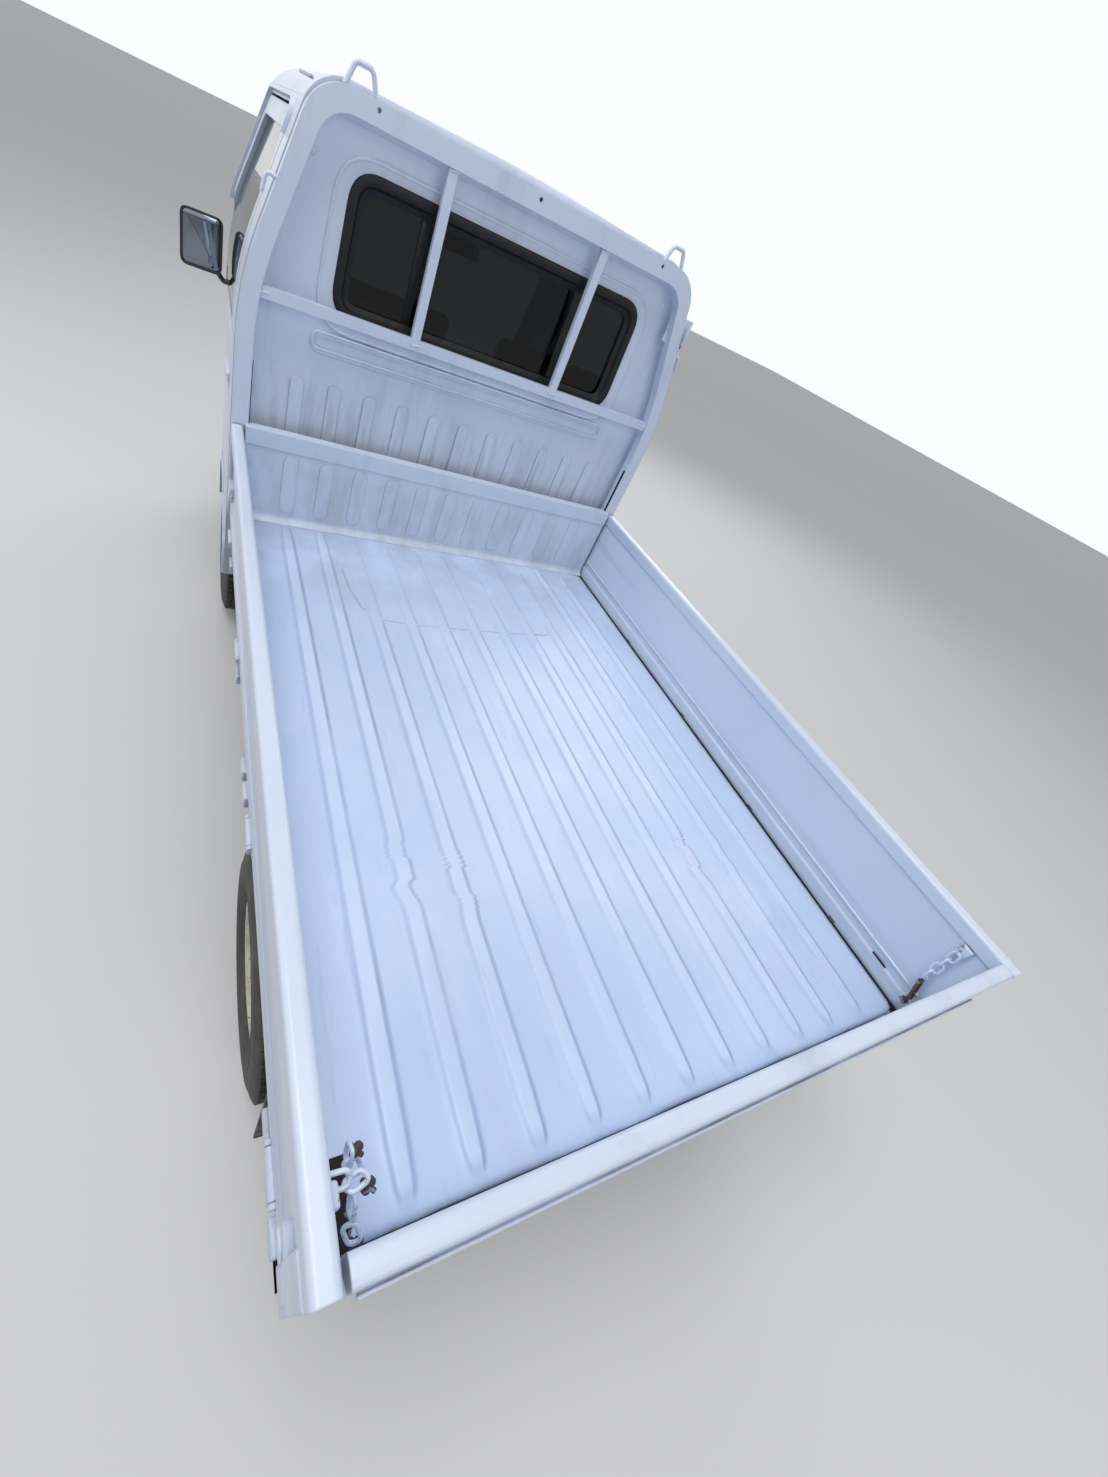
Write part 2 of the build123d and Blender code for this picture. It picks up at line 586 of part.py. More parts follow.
def make_cab_fittings():
    lamps = (cab_form(2) - cab_form(WALL - 5)) & head_lamp_pocket(-1.5)
    save(lamps, "headlamps")

    bar = cab_plan(4, FRONT, BUMPER_Z[0], BUMPER_Z[1])
    bar -= cab_plan(4 + BUMPER_T, FRONT + BUMPER_T, 0, BELT_Z)
    bar -= box(-SIDE, SIDE, DOOR_FRONT_Y - RUN, 0, 0, BELT_Z)
    middle_z = sum(INTAKE_Z) / 2
    intake = box(-INTAKE_HALF, INTAKE_HALF, FRONT - 1, FRONT + BUMPER_T + 1, *INTAKE_Z)
    bar -= fillet(intake.edges().filter_by(Axis.Y), 14)
    for x in spread(INTAKE_BARS, (-INTAKE_HALF * 2 / 3, INTAKE_HALF * 2 / 3)):
        near, far = x - INTAKE_BAR_W / 2, x + INTAKE_BAR_W / 2
        bar += box(near, far, FRONT + BUMPER_T / 2, FRONT + BUMPER_T, INTAKE_Z[0] - 1, INTAKE_Z[1] + 1)
    for x in (-FOG_LAMP_X, FOG_LAMP_X):
        bar -= rod_y(FOG_LAMP_R, FRONT - 1, FRONT + FOG_LAMP_DEPTH, x, middle_z)
    save(bar, "front_bumper")

    inside = SIDE - WALL - 1.0
    floor_line = [
        (CAB_FRONT_Y + WALL + 4, FLOOR_Z - SHEET), (SEAT_BOX_Y, FLOOR_Z - SHEET),
        (SEAT_BOX_Y, SEAT_BOX_Z - SHEET), (CAB_BACK_Y - WALL - 2, SEAT_BOX_Z - SHEET),
        (CAB_BACK_Y - WALL - 2, SEAT_BOX_Z), (SEAT_BOX_Y - SHEET, SEAT_BOX_Z),
        (SEAT_BOX_Y - SHEET, FLOOR_Z), (CAB_FRONT_Y + WALL + 4, FLOOR_Z),
    ]
    floor = across(floor_line, 6, -inside, inside)
    for x in (-WHEEL_HOUSE_X - WHEEL_HOUSE_T, WHEEL_HOUSE_X):
        floor += box(x, x + WHEEL_HOUSE_T, SEAT_BOX_Y - 10, CAB_BACK_Y - WALL - 2, FLOOR_Z + SHEET, SEAT_BOX_Z - 10)
    save(floor & cab_form(WALL + 1), "cab_floor")

    low, middle, high = DASH_Z
    board = list(zip(DASH_YS, (low, low, middle, high, high)))
    board = across(board, [20, 30, 40, 30, 20], -inside + 60, inside - 60)
    lean = radians(COLUMN_LEAN)
    down = Vector(0, -sin(lean), -cos(lean))
    hub = Vector(*COLUMN_HUB)
    foot = hub + down * ((COLUMN_HUB[2] - FLOOR_Z + 40) / cos(lean))
    column = rod_between(COLUMN_R, hub + down * 34, foot) - box(-SIDE, SIDE, FRONT, 0, 0, FLOOR_Z + SEAT)
    bore = rod_between(10.1, hub, hub + down * 80)
    save(board + column - bore, "dashboard")

    wheel = Torus(WHEEL_RING_R, WHEEL_GRIP_R) + Pos(0, 0, -4) * Cylinder(42, 36) + Box(WHEEL_RING_R * 2 - 16, 26, 12)
    wheel += Pos(0, -WHEEL_RING_R / 2, 0) * Box(26, WHEEL_RING_R - 6, 12) + Pos(0, 0, -45) * Cylinder(10, 60)
    save(Pos(*COLUMN_HUB) * Rot(-COLUMN_LEAN, 0, 0) * wheel, "steering_wheel")

    low = SEAT_BOX_Z + SEAT
    seats = box(*SEAT_X, SEAT_BOX_Y + 45, SEAT_BACK_YS[0] - 10, low, SEAT_BOX_Z + SEAT_H)
    seats = fillet(seats.edges(), 28)
    rest = list(zip(SEAT_BACK_YS, (low, low, SEAT_BACK_Z, SEAT_BACK_Z)))
    rest = across(rest, [12, 12, 36, 36], SEAT_X[0] + 5, SEAT_X[1] - 5)
    save(both_sides(seats), "seat_cushions")
    save(both_sides(rest), "seat_backs")


def make_mirrors():
    (x0, x1), (z0, z1) = MIRROR_X, MIRROR_Z
    head = upright(
        [(x0, MIRROR_Y - 34), (x1, MIRROR_Y - 22), (x1, MIRROR_Y + 22), (x0, MIRROR_Y + 26)],
        [20, 22, 10, 16], z0, z1,
    )
    root = SIDE - NOSE_TAPER + 14
    stay = box(root, x0 + 24, MIRROR_Y - 12, MIRROR_Y + 8, z0 - 26, z0 - 6)
    stay += box(x0 + 2, x0 + 24, MIRROR_Y - 12, MIRROR_Y + 8, z0 - 26, z0 + 10)
    foot = box(root - 40, root + 2, MIRROR_Y - MIRROR_FOOT, MIRROR_Y + MIRROR_FOOT, z0 - 2 * MIRROR_FOOT, z0 + 18)
    mirror_shape = head + stay + foot - cab_form(-SEAT)
    save(mirror_shape, "mirror_left")
    save(other_side(mirror_shape), "mirror_right")


# Load bed
def bead_path(x, half, side):
    """Corners of a floor bead seen from above; side is the way it bows."""
    start, end = BULGE_Y - BULGE_LENGTH / 2, BULGE_Y + BULGE_LENGTH / 2
    line = [
        (x, BEAD_FRONT_Y), (x, start - BULGE_RAMP), (x + side * BULGE_OUT, start),
        (x + side * BULGE_OUT, end), (x, end + BULGE_RAMP), (x, BEAD_REAR_Y),
    ]
    if side == 0:
        line = [line[0], line[-1]]
    return [(px - half, py) for px, py in line] + [(px + half, py) for px, py in reversed(line)]


def make_bed_floor():
    edge = BED_WIDTH / 2 - RUN
    plate = box(-edge, edge, BED_FRONT_Y, BED_REAR_Y - RUN, BED_Z - FLOOR_T, BED_Z)
    bows = {-4: -1, -3: 1, 3: -1, 4: 1}
    for number in range(BEAD_COUNT):
        place = number - BEAD_COUNT // 2
        corners = bead_path(place * BEAD_PITCH, BEAD_W / 2, bows.get(place, 0))
        bead = upright(corners, 0, BED_Z - 1, BED_Z + BEAD_H)
        top = bead.faces().sort_by(Axis.Z)[-1]
        plate += chamfer(top.edges(), BEAD_H - 1)
    save(plate, "bed_floor")


def gate_section(inner, outer, top):
    """A gate's cut through its rails and panel, as (across, z) corners."""
    foot_out = outer - RAIL_LIP
    panel_in, panel_out = inner + PANEL_SET, foot_out - PANEL_SET
    foot_top, rail_low = GATE_FOOT_Z + FOOT_H, top - RAIL_H
    slope = 6.0
    return [
        (inner, GATE_FOOT_Z), (foot_out, GATE_FOOT_Z), (foot_out, foot_top), (panel_out, foot_top + slope),
        (panel_out, rail_low - slope), (outer, rail_low), (outer, top), (inner, top), (inner, rail_low),
        (panel_in, rail_low - slope), (panel_in, foot_top + slope), (inner, foot_top),
    ]


def hinge_eye(outer, foot_z):
    """A gate's hinge eye on a line along X, with the strap up to its foot."""
    line = (outer - RAIL_LIP, foot_z - HINGE_DROP)
    eye = rod_x(HINGE_R, -HINGE_L / 2, HINGE_L / 2, *line)
    eye += box(-HINGE_L / 2, HINGE_L / 2, line[0] - 7, line[0], line[1], foot_z + 2)
    return eye - rod_x(HINGE_PIN_R + 0.1, -HINGE_L, HINGE_L, *line)


def hinge_ears(outer, foot_z):
    """The two ears and the pin that carry a gate's eye."""
    line = (outer - RAIL_LIP, foot_z - HINGE_DROP)
    near = HINGE_L / 2 + 1
    ears = rod_x(HINGE_PIN_R, -near - EAR_T, near + EAR_T, *line)
    for x in (-near - EAR_T, near):
        ears += rod_x(HINGE_R, x, x + EAR_T, *line)
        ears += box(x, x + EAR_T, line[0] - 40, line[0] - 2, line[1] - 30, line[1] + 4)
    return ears


SIDE_HINGE_YS = spread(SIDE_HINGES, (BED_FRONT_Y + HINGE_END, BED_REAR_Y - HINGE_END))
TAIL_HINGE_XS = spread(TAIL_HINGES, (TAIL_HINGE_END - BED_WIDTH / 2, BED_WIDTH / 2 - TAIL_HINGE_END))


def make_gates():
    top = BED_Z + GATE_H
    radii = [3, 3, 3, 0, 0, 3, 9, 9, 3, 0, 0, 3]
    front_y = BED_FRONT_Y - 9
    side = along(gate_section(BED_WIDTH / 2, SIDE, top), radii, front_y, REAR)
    for y in SIDE_HINGE_YS:
        side += Pos(0, y, 0) * Rot(0, 0, -90) * hinge_eye(SIDE, GATE_FOOT_Z)
    latch_low = GATE_FOOT_Z + FOOT_H + LATCH_RISE
    for y in (BED_FRONT_Y + LATCH_END, REAR - LATCH_END):
        latch = box(
            SIDE - RAIL_LIP - PANEL_SET - 1, SIDE, y - LATCH_L / 2, y + LATCH_L / 2,
            latch_low, latch_low + LATCH_H,
        )
        side += fillet(latch.edges().filter_by(Axis.X), 9)
    save(side, "gate_left")
    save(other_side(side), "gate_right")

    half = BED_WIDTH / 2 - RUN
    tail = across(gate_section(BED_REAR_Y, REAR, top), radii, -half, half)
    for x in TAIL_HINGE_XS:
        tail += Pos(x, 0, 0) * hinge_eye(REAR, GATE_FOOT_Z)
    save(tail, "tailgate")


def make_headboard():
    half = BED_WIDTH / 2 - RUN
    top = BED_Z + HEADBOARD_H
    board = box(-half, half, BED_FRONT_Y - HEADBOARD_T, BED_FRONT_Y, BED_Z + SEAT, top)
    board += box(-half, half, BED_FRONT_Y - HEADBOARD_T - 10, BED_FRONT_Y - 1, top - 22, top)
    board += box(-half, half, BED_FRONT_Y - 1, BED_FRONT_Y + HEADBOARD_BAND_T, top - HEADBOARD_BAND, top)
    board += beads(BED_FRONT_Y, BEAD_W, HEADBOARD_BEAD_T, (BED_Z + COVE_R + 14, top - HEADBOARD_BAND - 12))
    foot = BED_Z + SEAT
    cove = box(-half, half, BED_FRONT_Y - 1, BED_FRONT_Y + COVE_R, foot, foot + COVE_R)
    board += cove - rod_x(COVE_R - 0.5, -SIDE, SIDE, BED_FRONT_Y + COVE_R, foot + COVE_R)
    post_y = HOOP_Y - HOOP_DEPTH
    post = box(SIDE - HOOP_FACE - 1, SIDE - 1, post_y, BED_FRONT_Y - 9 - RUN, BED_LOW, top)
    post += box(SIDE - HOOP_FACE - 10, half, BED_FRONT_Y - HEADBOARD_T, post_y + 20, BED_Z + 2, top)
    save(board + post + other_side(post), "headboard")


def hoop_outline(inset, foot):
    half = SIDE - 1 - inset
    lean = (SIDE - SHOULDER_X) / (ROOF_Z - ROOF_CROWN - BELT_Z)
    top = HOOP_TOP - inset
    corner_x = half - (top - BELT_Z) * lean
    points = [
        (half, foot), (half, BELT_Z), (corner_x, top), (-corner_x, top), (-half, BELT_Z), (-half, foot),
    ]
    corner_r = SHOULDER_R - inset * 0.6
    return points, [0, BELT_R - inset, corner_r, corner_r, BELT_R - inset, 0]


def make_guard_frame():
    foot = BED_Z + HEADBOARD_H
    back = HOOP_Y - HOOP_DEPTH
    outer = along(*hoop_outline(0, foot), back, HOOP_Y)
    inner = along(*hoop_outline(HOOP_FACE, foot - 50), back - 5, HOOP_Y + 5)
    mid_y = HOOP_Y - HOOP_DEPTH / 2
    hoop = outer - inner
    for x in (-HOOP_HOLE_PITCH, 0, HOOP_HOLE_PITCH):
        hoop -= rod_y(HOOP_HOLE_R, back - 1, HOOP_Y + 1, x, HOOP_HOLE_Z)
    root = SIDE - (POST_HOOK_Z - BELT_Z) * (SIDE - SHOULDER_X) / (ROOF_Z - ROOF_CROWN - BELT_Z)
    hook_line = FilletPolyline(
        (root - 12, mid_y, POST_HOOK_Z - 4), (root + HOOK_OUT - 6, mid_y, POST_HOOK_Z + 3),
        (root + HOOK_OUT, mid_y, POST_HOOK_Z - HOOK_DROP), radius=12,
    )
    hook = swept(hook_line, HOOK_ROD / 2)
    save(hoop + hook + other_side(hook), "guard_hoop")

    bar_y = HOOP_Y - 4
    room = along(*hoop_outline(HOOP_FACE, foot - 50), bar_y - GUARD_BAR_T, bar_y)
    cross_low = CROSS_BAR_Z - CROSS_BAR_H / 2
    bars = box(-SIDE, SIDE, bar_y - GUARD_BAR_T, bar_y, cross_low, cross_low + CROSS_BAR_H)
    for x in (-GUARD_BAR_X, GUARD_BAR_X):
        bars += box(
            x - GUARD_BAR_W / 2, x + GUARD_BAR_W / 2, bar_y - GUARD_BAR_T, bar_y,
            CROSS_BAR_Z, HOOP_TOP,
        )
    save(bars & room, "guard_bars")

    top_z = HOOP_TOP - 6
    loop_zs = (top_z + 2, HOOP_TOP + LOOP_H, HOOP_TOP + LOOP_H, top_z - 24)
    loop_line = FilletPolyline(*[(x, mid_y, z) for x, z in zip(LOOP_XS, loop_zs)], radius=[14, 14])
    loop = swept(loop_line, LOOP_ROD / 2)
    loop -= along(*hoop_outline(-SEAT, foot), back, HOOP_Y)
    return both_sides(loop)


def make_bed_frame():
    half = BED_WIDTH / 2
    low, high = BED_LOW - SILL_DEPTH, BED_LOW
    front, rear = BED_FRONT_Y - 45, REAR - REAR_SET
    inner, outer = half - SILL_W, SIDE - RAIL_LIP - RUN
    side = box(inner, outer, front, rear, low, high - SILL_STEP)
    side += box(inner, half - RUN - 2, BED_FRONT_Y, BED_REAR_Y - RUN, high - SILL_STEP - 1, high)
    for y in SIDE_HINGE_YS:
        side += Pos(0, y, 0) * Rot(0, 0, -90) * hinge_ears(SIDE, GATE_FOOT_Z)
    frame = side + other_side(side)
    for y in spread(BEARER_COUNT, BEARER_ENDS):
        frame += box(-inner - 1, inner + 1, y - BEARER_W / 2, y + BEARER_W / 2, low + 10, high)
    save(frame, "bed_frame")

    panel = box(-inner, inner, rear - REAR_PANEL_T, rear, REAR_PANEL_Z, high - SILL_STEP)
    for x in TAIL_HINGE_XS:
        panel += Pos(x, 0, 0) * hinge_ears(REAR, GATE_FOOT_Z)
    save(panel, "rear_panel")
    lamp = box(inner, outer - 2, rear - LAMP_T, rear, REAR_PANEL_Z, low - SEAT)
    save(both_sides(fillet(lamp.edges().filter_by(Axis.Y), 8)), "tail_lamps")


# Running gear
def ring(points, radii):
    """Turned shape about the wheel's axis, from (x, radius) corners."""
    rim = FilletPolyline(*[(x, 0, r) for x, r in points], radius=radii, close=True)
    return revolve(make_face(rim), Axis.X, 360)


def make_wheels():
    w = TYRE_W / 2
    lip = 4.0
    bead = RIM_W / 2 - lip - SEAT
    tyre = ring(
        [
            (-bead, RIM_R + SEAT), (-bead, RIM_LIP_R + 4), (-w, RIM_R + TYRE_WALL_BEND), (-w, TYRE_R),
            (w, TYRE_R), (w, RIM_R + TYRE_WALL_BEND), (bead, RIM_LIP_R + 4), (bead, RIM_R + SEAT),
        ],
        [0, 6, 30, TYRE_SHOULDER, TYRE_SHOULDER, 30, 6, 0],
    )
    half = RIM_W / 2
    disc_x = half - DISC_IN
    wall = RIM_WALL
    barrel = ring(
        [
            (-half, RIM_R - wall), (-half, RIM_LIP_R), (-half + lip, RIM_LIP_R), (-half + lip, RIM_R),
            (half - lip, RIM_R), (half - lip, RIM_LIP_R), (half, RIM_LIP_R), (half, RIM_R - wall),
        ],
        0,
    )
    disc = ring(
        [
            (disc_x - 8, SPINDLE_R + SEAT), (disc_x - 8, HUB_R), (disc_x + 4, DISC_SWELL_R),
            (disc_x - 14, RIM_R - wall + 1), (disc_x - 6, RIM_R - wall + 1), (disc_x + 12, DISC_SWELL_R),
            (disc_x + 2, HUB_R), (disc_x + 2, SPINDLE_R + SEAT),
        ],
        0,
    )
    for number in range(VENT_COUNT):
        vent = Pos(disc_x, 0, VENT_RING_R) * Rot(0, 90, 0) * Cylinder(VENT_R, 60)
        disc -= Rot(number * 360 / VENT_COUNT, 0, 0) * vent
    drum = ring(
        [
            (disc_x - 8 - DRUM_W, DRUM_R - 10), (disc_x - 8 - DRUM_W, DRUM_R), (disc_x - 7, DRUM_R),
            (disc_x - 7, SPINDLE_R + SEAT), (disc_x - 20, SPINDLE_R + SEAT), (disc_x - 20, DRUM_R - 10),
        ],
        [0, 4, 8, 0, 0, 0],
    )
    cap = ring(
        [
            (disc_x + 1, SPINDLE_R + 4), (disc_x + HUB_CAP, SPINDLE_R + 4), (disc_x + HUB_CAP, 0.0),
            (disc_x + HUB_CAP - 6, 0.0), (disc_x + HUB_CAP - 6, SPINDLE_R + SEAT), (disc_x + 1, SPINDLE_R + SEAT),
        ],
        0,
    )
    rim = barrel + disc + drum + cap
    for side, turn in (("left", 0), ("right", 180)):
        sign = 1 if side == "left" else -1
        for end, y in (("front", FRONT_AXLE_Y), ("rear", REAR_AXLE_Y)):
            place = Pos(sign * WHEEL_X, y, TYRE_R) * Rot(0, 0, turn)
            save(place * tyre, f"tyre_{end}_{side}")
            save(place * rim, f"rim_{end}_{side}")


def make_axles():
    disc_x = WHEEL_X + RIM_W / 2 - DISC_IN
    drum_x = disc_x - 8 - DRUM_W
    spindle_end = disc_x + 12
    plate = rod_x(DRUM_R - 16, drum_x - 4, drum_x + 8, 0, 0)
    spindle = rod_x(SPINDLE_R, drum_x, spindle_end, 0, 0)

    half = plate + spindle + rod_x(AXLE_TUBE_R, 0, drum_x, 0, 0)
    pad = SPRING_W / 2 + 2
    half += box(SPRING_X - pad, SPRING_X + pad, -48, 48, 0, SPRING_Z - TYRE_R)
    case = fillet(rod_x(AXLE_CASE_R, 18 - AXLE_CASE_R, AXLE_CASE_R - 18, 0, 0).edges(), 40)
    nose = rod_y(52, -AXLE_NOSE, 0, 0, 0)
    save(Pos(0, REAR_AXLE_Y, TYRE_R) * (half + other_side(half) + case + nose), "rear_axle")

    axis_x = BALL_X - (TYRE_R - BALL_Z) * STEER_LEAN
    knuckle = plate + spindle + rod_x(30, axis_x - 10, drum_x, 0, 0)
    knuckle += box(axis_x - 12, axis_x + 14, 0, 118, -14, 14)
    knuckle = Pos(0, FRONT_AXLE_Y, TYRE_R) * knuckle
    knuckle += rod_between(STRUT_R, steer_point(BALL_Z + 42), steer_point(BALL_Z + STRUT_SPLIT))
    knuckle += rod_between(8, steer_point(BALL_Z + BALL_R + SEAT), steer_point(BALL_Z + 60))
    save(knuckle, "knuckle_left")
    save(other_side(knuckle), "knuckle_right")


STEER_LEAN = (BALL_X - STRUT_TOP_X) / (STRUT_TOP_Z - BALL_Z)


def steer_point(z):
    """Where the left steering axis is at a height."""
    return (BALL_X - (z - BALL_Z) * STEER_LEAN, FRONT_AXLE_Y, z)


def make_suspension():
    strut = rod_between(STRUT_R, steer_point(BALL_Z + STRUT_SPLIT + SEAT), steer_point(STRUT_TOP_Z + 20))
    strut &= box(0, SIDE, FRONT, 0, 0, STRUT_TOP_Z - SEAT)
    arm = Pos(*steer_point(BALL_Z)) * Sphere(BALL_R)
    for y in (-ARM_SPREAD, ARM_SPREAD):
        pivot = (RAIL_X, FRONT_AXLE_Y + y, RAIL_LOW - 112)
        arm += rod_between(ARM_R, steer_point(BALL_Z), pivot)
        arm += box(RAIL_X - 24, RAIL_X + 24, pivot[1] - 20, pivot[1] + 20, pivot[2] - 18, RAIL_LOW - 50)
    beam_half = RAIL_X + RAIL_W / 2
    reach = ARM_SPREAD + 40
    beam = box(-beam_half, beam_half, FRONT_AXLE_Y - reach, FRONT_AXLE_Y + reach, RAIL_LOW - 62, RAIL_LOW)
    beam -= box(60 - beam_half, beam_half - 60, FRONT_AXLE_Y + 50 - reach, FRONT_AXLE_Y + reach - 50, 0, RAIL_LOW)
    save(Compound([*solids_of(both_sides(strut)), *solids_of(beam + arm + other_side(arm))]), "front_suspension")

    low, high, end = SPRING_Z, SPRING_EYE_Z, SPRING_HALF
    spring = [
        (-60, low), (60, low), (end, high), (end, high + SPRING_T), (60, low + SPRING_T),
        (-60, low + SPRING_T), (-end, high + SPRING_T), (-end, high),
    ]
    spring = [(REAR_AXLE_Y + y, z) for y, z in spring]
    leaf = across(spring, [300, 300, 8, 8, 300, 300, 8, 8], SPRING_X - SPRING_W / 2, SPRING_X + SPRING_W / 2)
    save(both_sides(leaf), "leaf_springs")


def make_chassis():
    front, rear = CAB_FRONT_Y + 80, REAR - 60
    kick_y, level_y = FRONT_AXLE_Y + 360, REAR_AXLE_Y - 420
    bed_low = BED_LOW - SILL_DEPTH + 10
    rail_line = [
        (front, RAIL_LOW), (kick_y, RAIL_LOW), (level_y, RAIL_LOW + 60), (rear, RAIL_LOW + 80),
        (rear, bed_low), (kick_y + 110, bed_low), (kick_y, CAB_LOW), (front, CAB_LOW),
    ]
    half = RAIL_W / 2
    rail = across(rail_line, 0, RAIL_X - half, RAIL_X + half)
    eye_top = SPRING_EYE_Z + SPRING_T
    for side in (-1, 1):
        y = REAR_AXLE_Y + side * (SPRING_HALF - SHACKLE)
        rail += box(RAIL_X, SPRING_X + SPRING_W / 2, y - SHACKLE, y + SHACKLE, eye_top, eye_top + 45)
    # the eye's end of the rail, underside there
    for y, low in ((front + TOW_EYE_HALF, RAIL_LOW), (rear - TOW_EYE_HALF - 2, RAIL_LOW + 80)):
        z = low - TOW_EYE_DROP
        eye = box(
            RAIL_X - TOW_EYE_T / 2, RAIL_X + TOW_EYE_T / 2, y - TOW_EYE_HALF, y + TOW_EYE_HALF,
            z - TOW_EYE_HALF, low + 12,
        )
        rail += eye - rod_x(TOW_EYE_R, RAIL_X - TOW_EYE_T, RAIL_X + TOW_EYE_T, y, z)
    carrier_y = (SPARE_Y - CARRIER_W / 2, SPARE_Y + CARRIER_W / 2)
    carrier_z = (RAIL_LOW + 38, RAIL_LOW + 60)
    carrier = box(SPARE_X - 85, -RAIL_X, *carrier_y, *carrier_z)
    carrier += Pos(SPARE_X, SPARE_Y, (carrier_z[0] + SPARE_Z) / 2) * Cylinder(12, carrier_z[0] + 10 - SPARE_Z)
    carrier += Pos(SPARE_X, SPARE_Y, SPARE_Z - 8) * Cylinder(40, 16)

    frame = rail + other_side(rail) + carrier
    # place along the truck, underside
    members = [
        (front + 60, CAB_LOW - 38), (kick_y + 60, CAB_LOW + 38),
        (REAR_AXLE_Y - 400, bed_low - 40), (rear - 80, bed_low - 60),
    ]
    for y, z in members:
        frame += box(half - RAIL_X - 1, RAIL_X - half + 1, y - 24, y + 24, z, z + 34)
    save(frame, "ladder_frame")


def make_driveline():
    (y0, y1), (z0, z1) = ENGINE_Y, ENGINE_Z
    block = box(-ENGINE_X, ENGINE_X, y0, y1, z0, z1) + box(-GEARBOX_X, GEARBOX_X, *GEARBOX_Y, *GEARBOX_Z)
    mounts = box(RAIL_W / 2 - RAIL_X, RAIL_X - RAIL_W / 2, y0 + 180, y0 + 240, z0, z0 + 30)
    save(block + mounts, "engine_block")
    save(rod_y(SHAFT_R, GEARBOX_Y[1], REAR_AXLE_Y - AXLE_NOSE, 0, TYRE_R + 20), "propeller_shaft")

    tank_y = (TANK_Y - TANK_LENGTH / 2, TANK_Y + TANK_LENGTH / 2)
    tank = box(RAIL_X + RAIL_W / 2 + 8, BED_WIDTH / 2 - SILL_W - 6, *tank_y, *TANK_Z)
    save(fillet(tank.edges().filter_by(Axis.Y), 40), "fuel_tank")

    low, high = PIPE_Z
    # place along the truck, height, sideways offset
    route = [
        (y1, low, -35), (y1 + 180, low, 0), (MUFFLER_Y, high, 0), (REAR_AXLE_Y - 260, high, 0),
        (REAR_AXLE_Y - 60, low + 10, 0), (REAR - 90, low, 0),
    ]
    line = FilletPolyline(*[(PIPE_X + x, y, z) for y, z, x in route], radius=[70, 120, 120, 120])
    pipe = swept(line, PIPE_R)
    pipe -= box(-WIDTH, WIDTH, y0, y1, 0, ROOF_Z)
    pipe += rod_y(MUFFLER_R, MUFFLER_Y, MUFFLER_Y + MUFFLER_L, PIPE_X, high)
    hanger_y = MUFFLER_Y + MUFFLER_L - 90
    pipe += box(PIPE_X - 10, PIPE_X + 10, hanger_y, hanger_y + 20, high + MUFFLER_R - 20, BED_LOW - SILL_DEPTH + 10)
    save(pipe, "exhaust")


def make_spare_wheel():
    w = TYRE_W / 2
    wheel = ring(
        [(-w, RIM_R), (-w, TYRE_R), (w, TYRE_R), (w, RIM_R)],
        [0, TYRE_SHOULDER, TYRE_SHOULDER, 0],
    )
    wheel += ring(
        [
            (-w + 20, RIM_R + 2), (w - 20, RIM_R + 2), (w - 20, RIM_R - 6), (-w + 34, RIM_R - 6),
            (-w + 24, 60), (-w + 24, 14), (-w + 16, 14), (-w + 16, 60), (-w + 20, RIM_R - 6),
        ],
        0,
    )
    lift = SPARE_Z + SEAT + w - 16
    save(Pos(SPARE_X, SPARE_Y, lift) * Rot(0, -90, 0) * wheel, "spare_wheel")


def make_bed_trim():
    flap_y = REAR_AXLE_Y + TYRE_R + 50
    flap = box(WHEEL_X - 70, WHEEL_X + 66, flap_y, flap_y + FLAP_T, FLAP_Z, BED_LOW - SILL_DEPTH)
    save(both_sides(flap), "mud_flaps")

    hooks = solids_of(make_guard_frame())
    inner, outer = BED_WIDTH / 2 - 24, SIDE - 7
    for y in spread(HOOK_COUNT, HOOK_ENDS):
        ends = (y - HOOK_L / 2, y + HOOK_L / 2)
        hook = box(inner, outer, *ends, HOOK_Z, HOOK_Z + 12)
        hook += box(outer - 8, outer, *ends, HOOK_Z, HOOK_Z + 24)
        hook += box(inner, inner + 16, y - 10, y + 10, HOOK_Z, BED_LOW - SILL_DEPTH)
        hooks += solids_of(both_sides(hook))
    save(Compound(hooks), "rope_hooks")

    chain = []
    start = (BED_WIDTH / 2 - 28, BED_REAR_Y - 10, BED_Z + 210)
    for number in range(CHAIN_LINKS):
        x, y, z = start
        link = Torus(LINK_R, LINK_WIRE)
        turn = Rot(90, 0, 0) if number % 2 else Rot(0, 90, 0)
        chain.append(Pos(x, y, z - number * LINK_PITCH) * turn * link)
    links = chain[0]
    for link in chain[1:]:
        links += link
    stem = box(start[0] - 8, start[0] + 8, BED_REAR_Y - 12, BED_REAR_Y - SEAT, start[2] - 4, start[2] + 34)
    save(both_sides(links + stem), "tailgate_chains")


make_cab()
make_cab_fittings()
make_mirrors()
make_bed_floor()
make_gates()
make_headboard()
make_bed_frame()
make_wheels()
make_axles()
make_suspension()
make_chassis()
make_driveline()
make_spare_wheel()
make_bed_trim()
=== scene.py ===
"""Kei truck: paint, pressings, glass, seats, tyres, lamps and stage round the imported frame."""
import math
from contextlib import contextmanager

import bmesh
import bpy
from bpy.props import FloatProperty, FloatVectorProperty, IntProperty, PointerProperty
from mathutils import Matrix, Vector


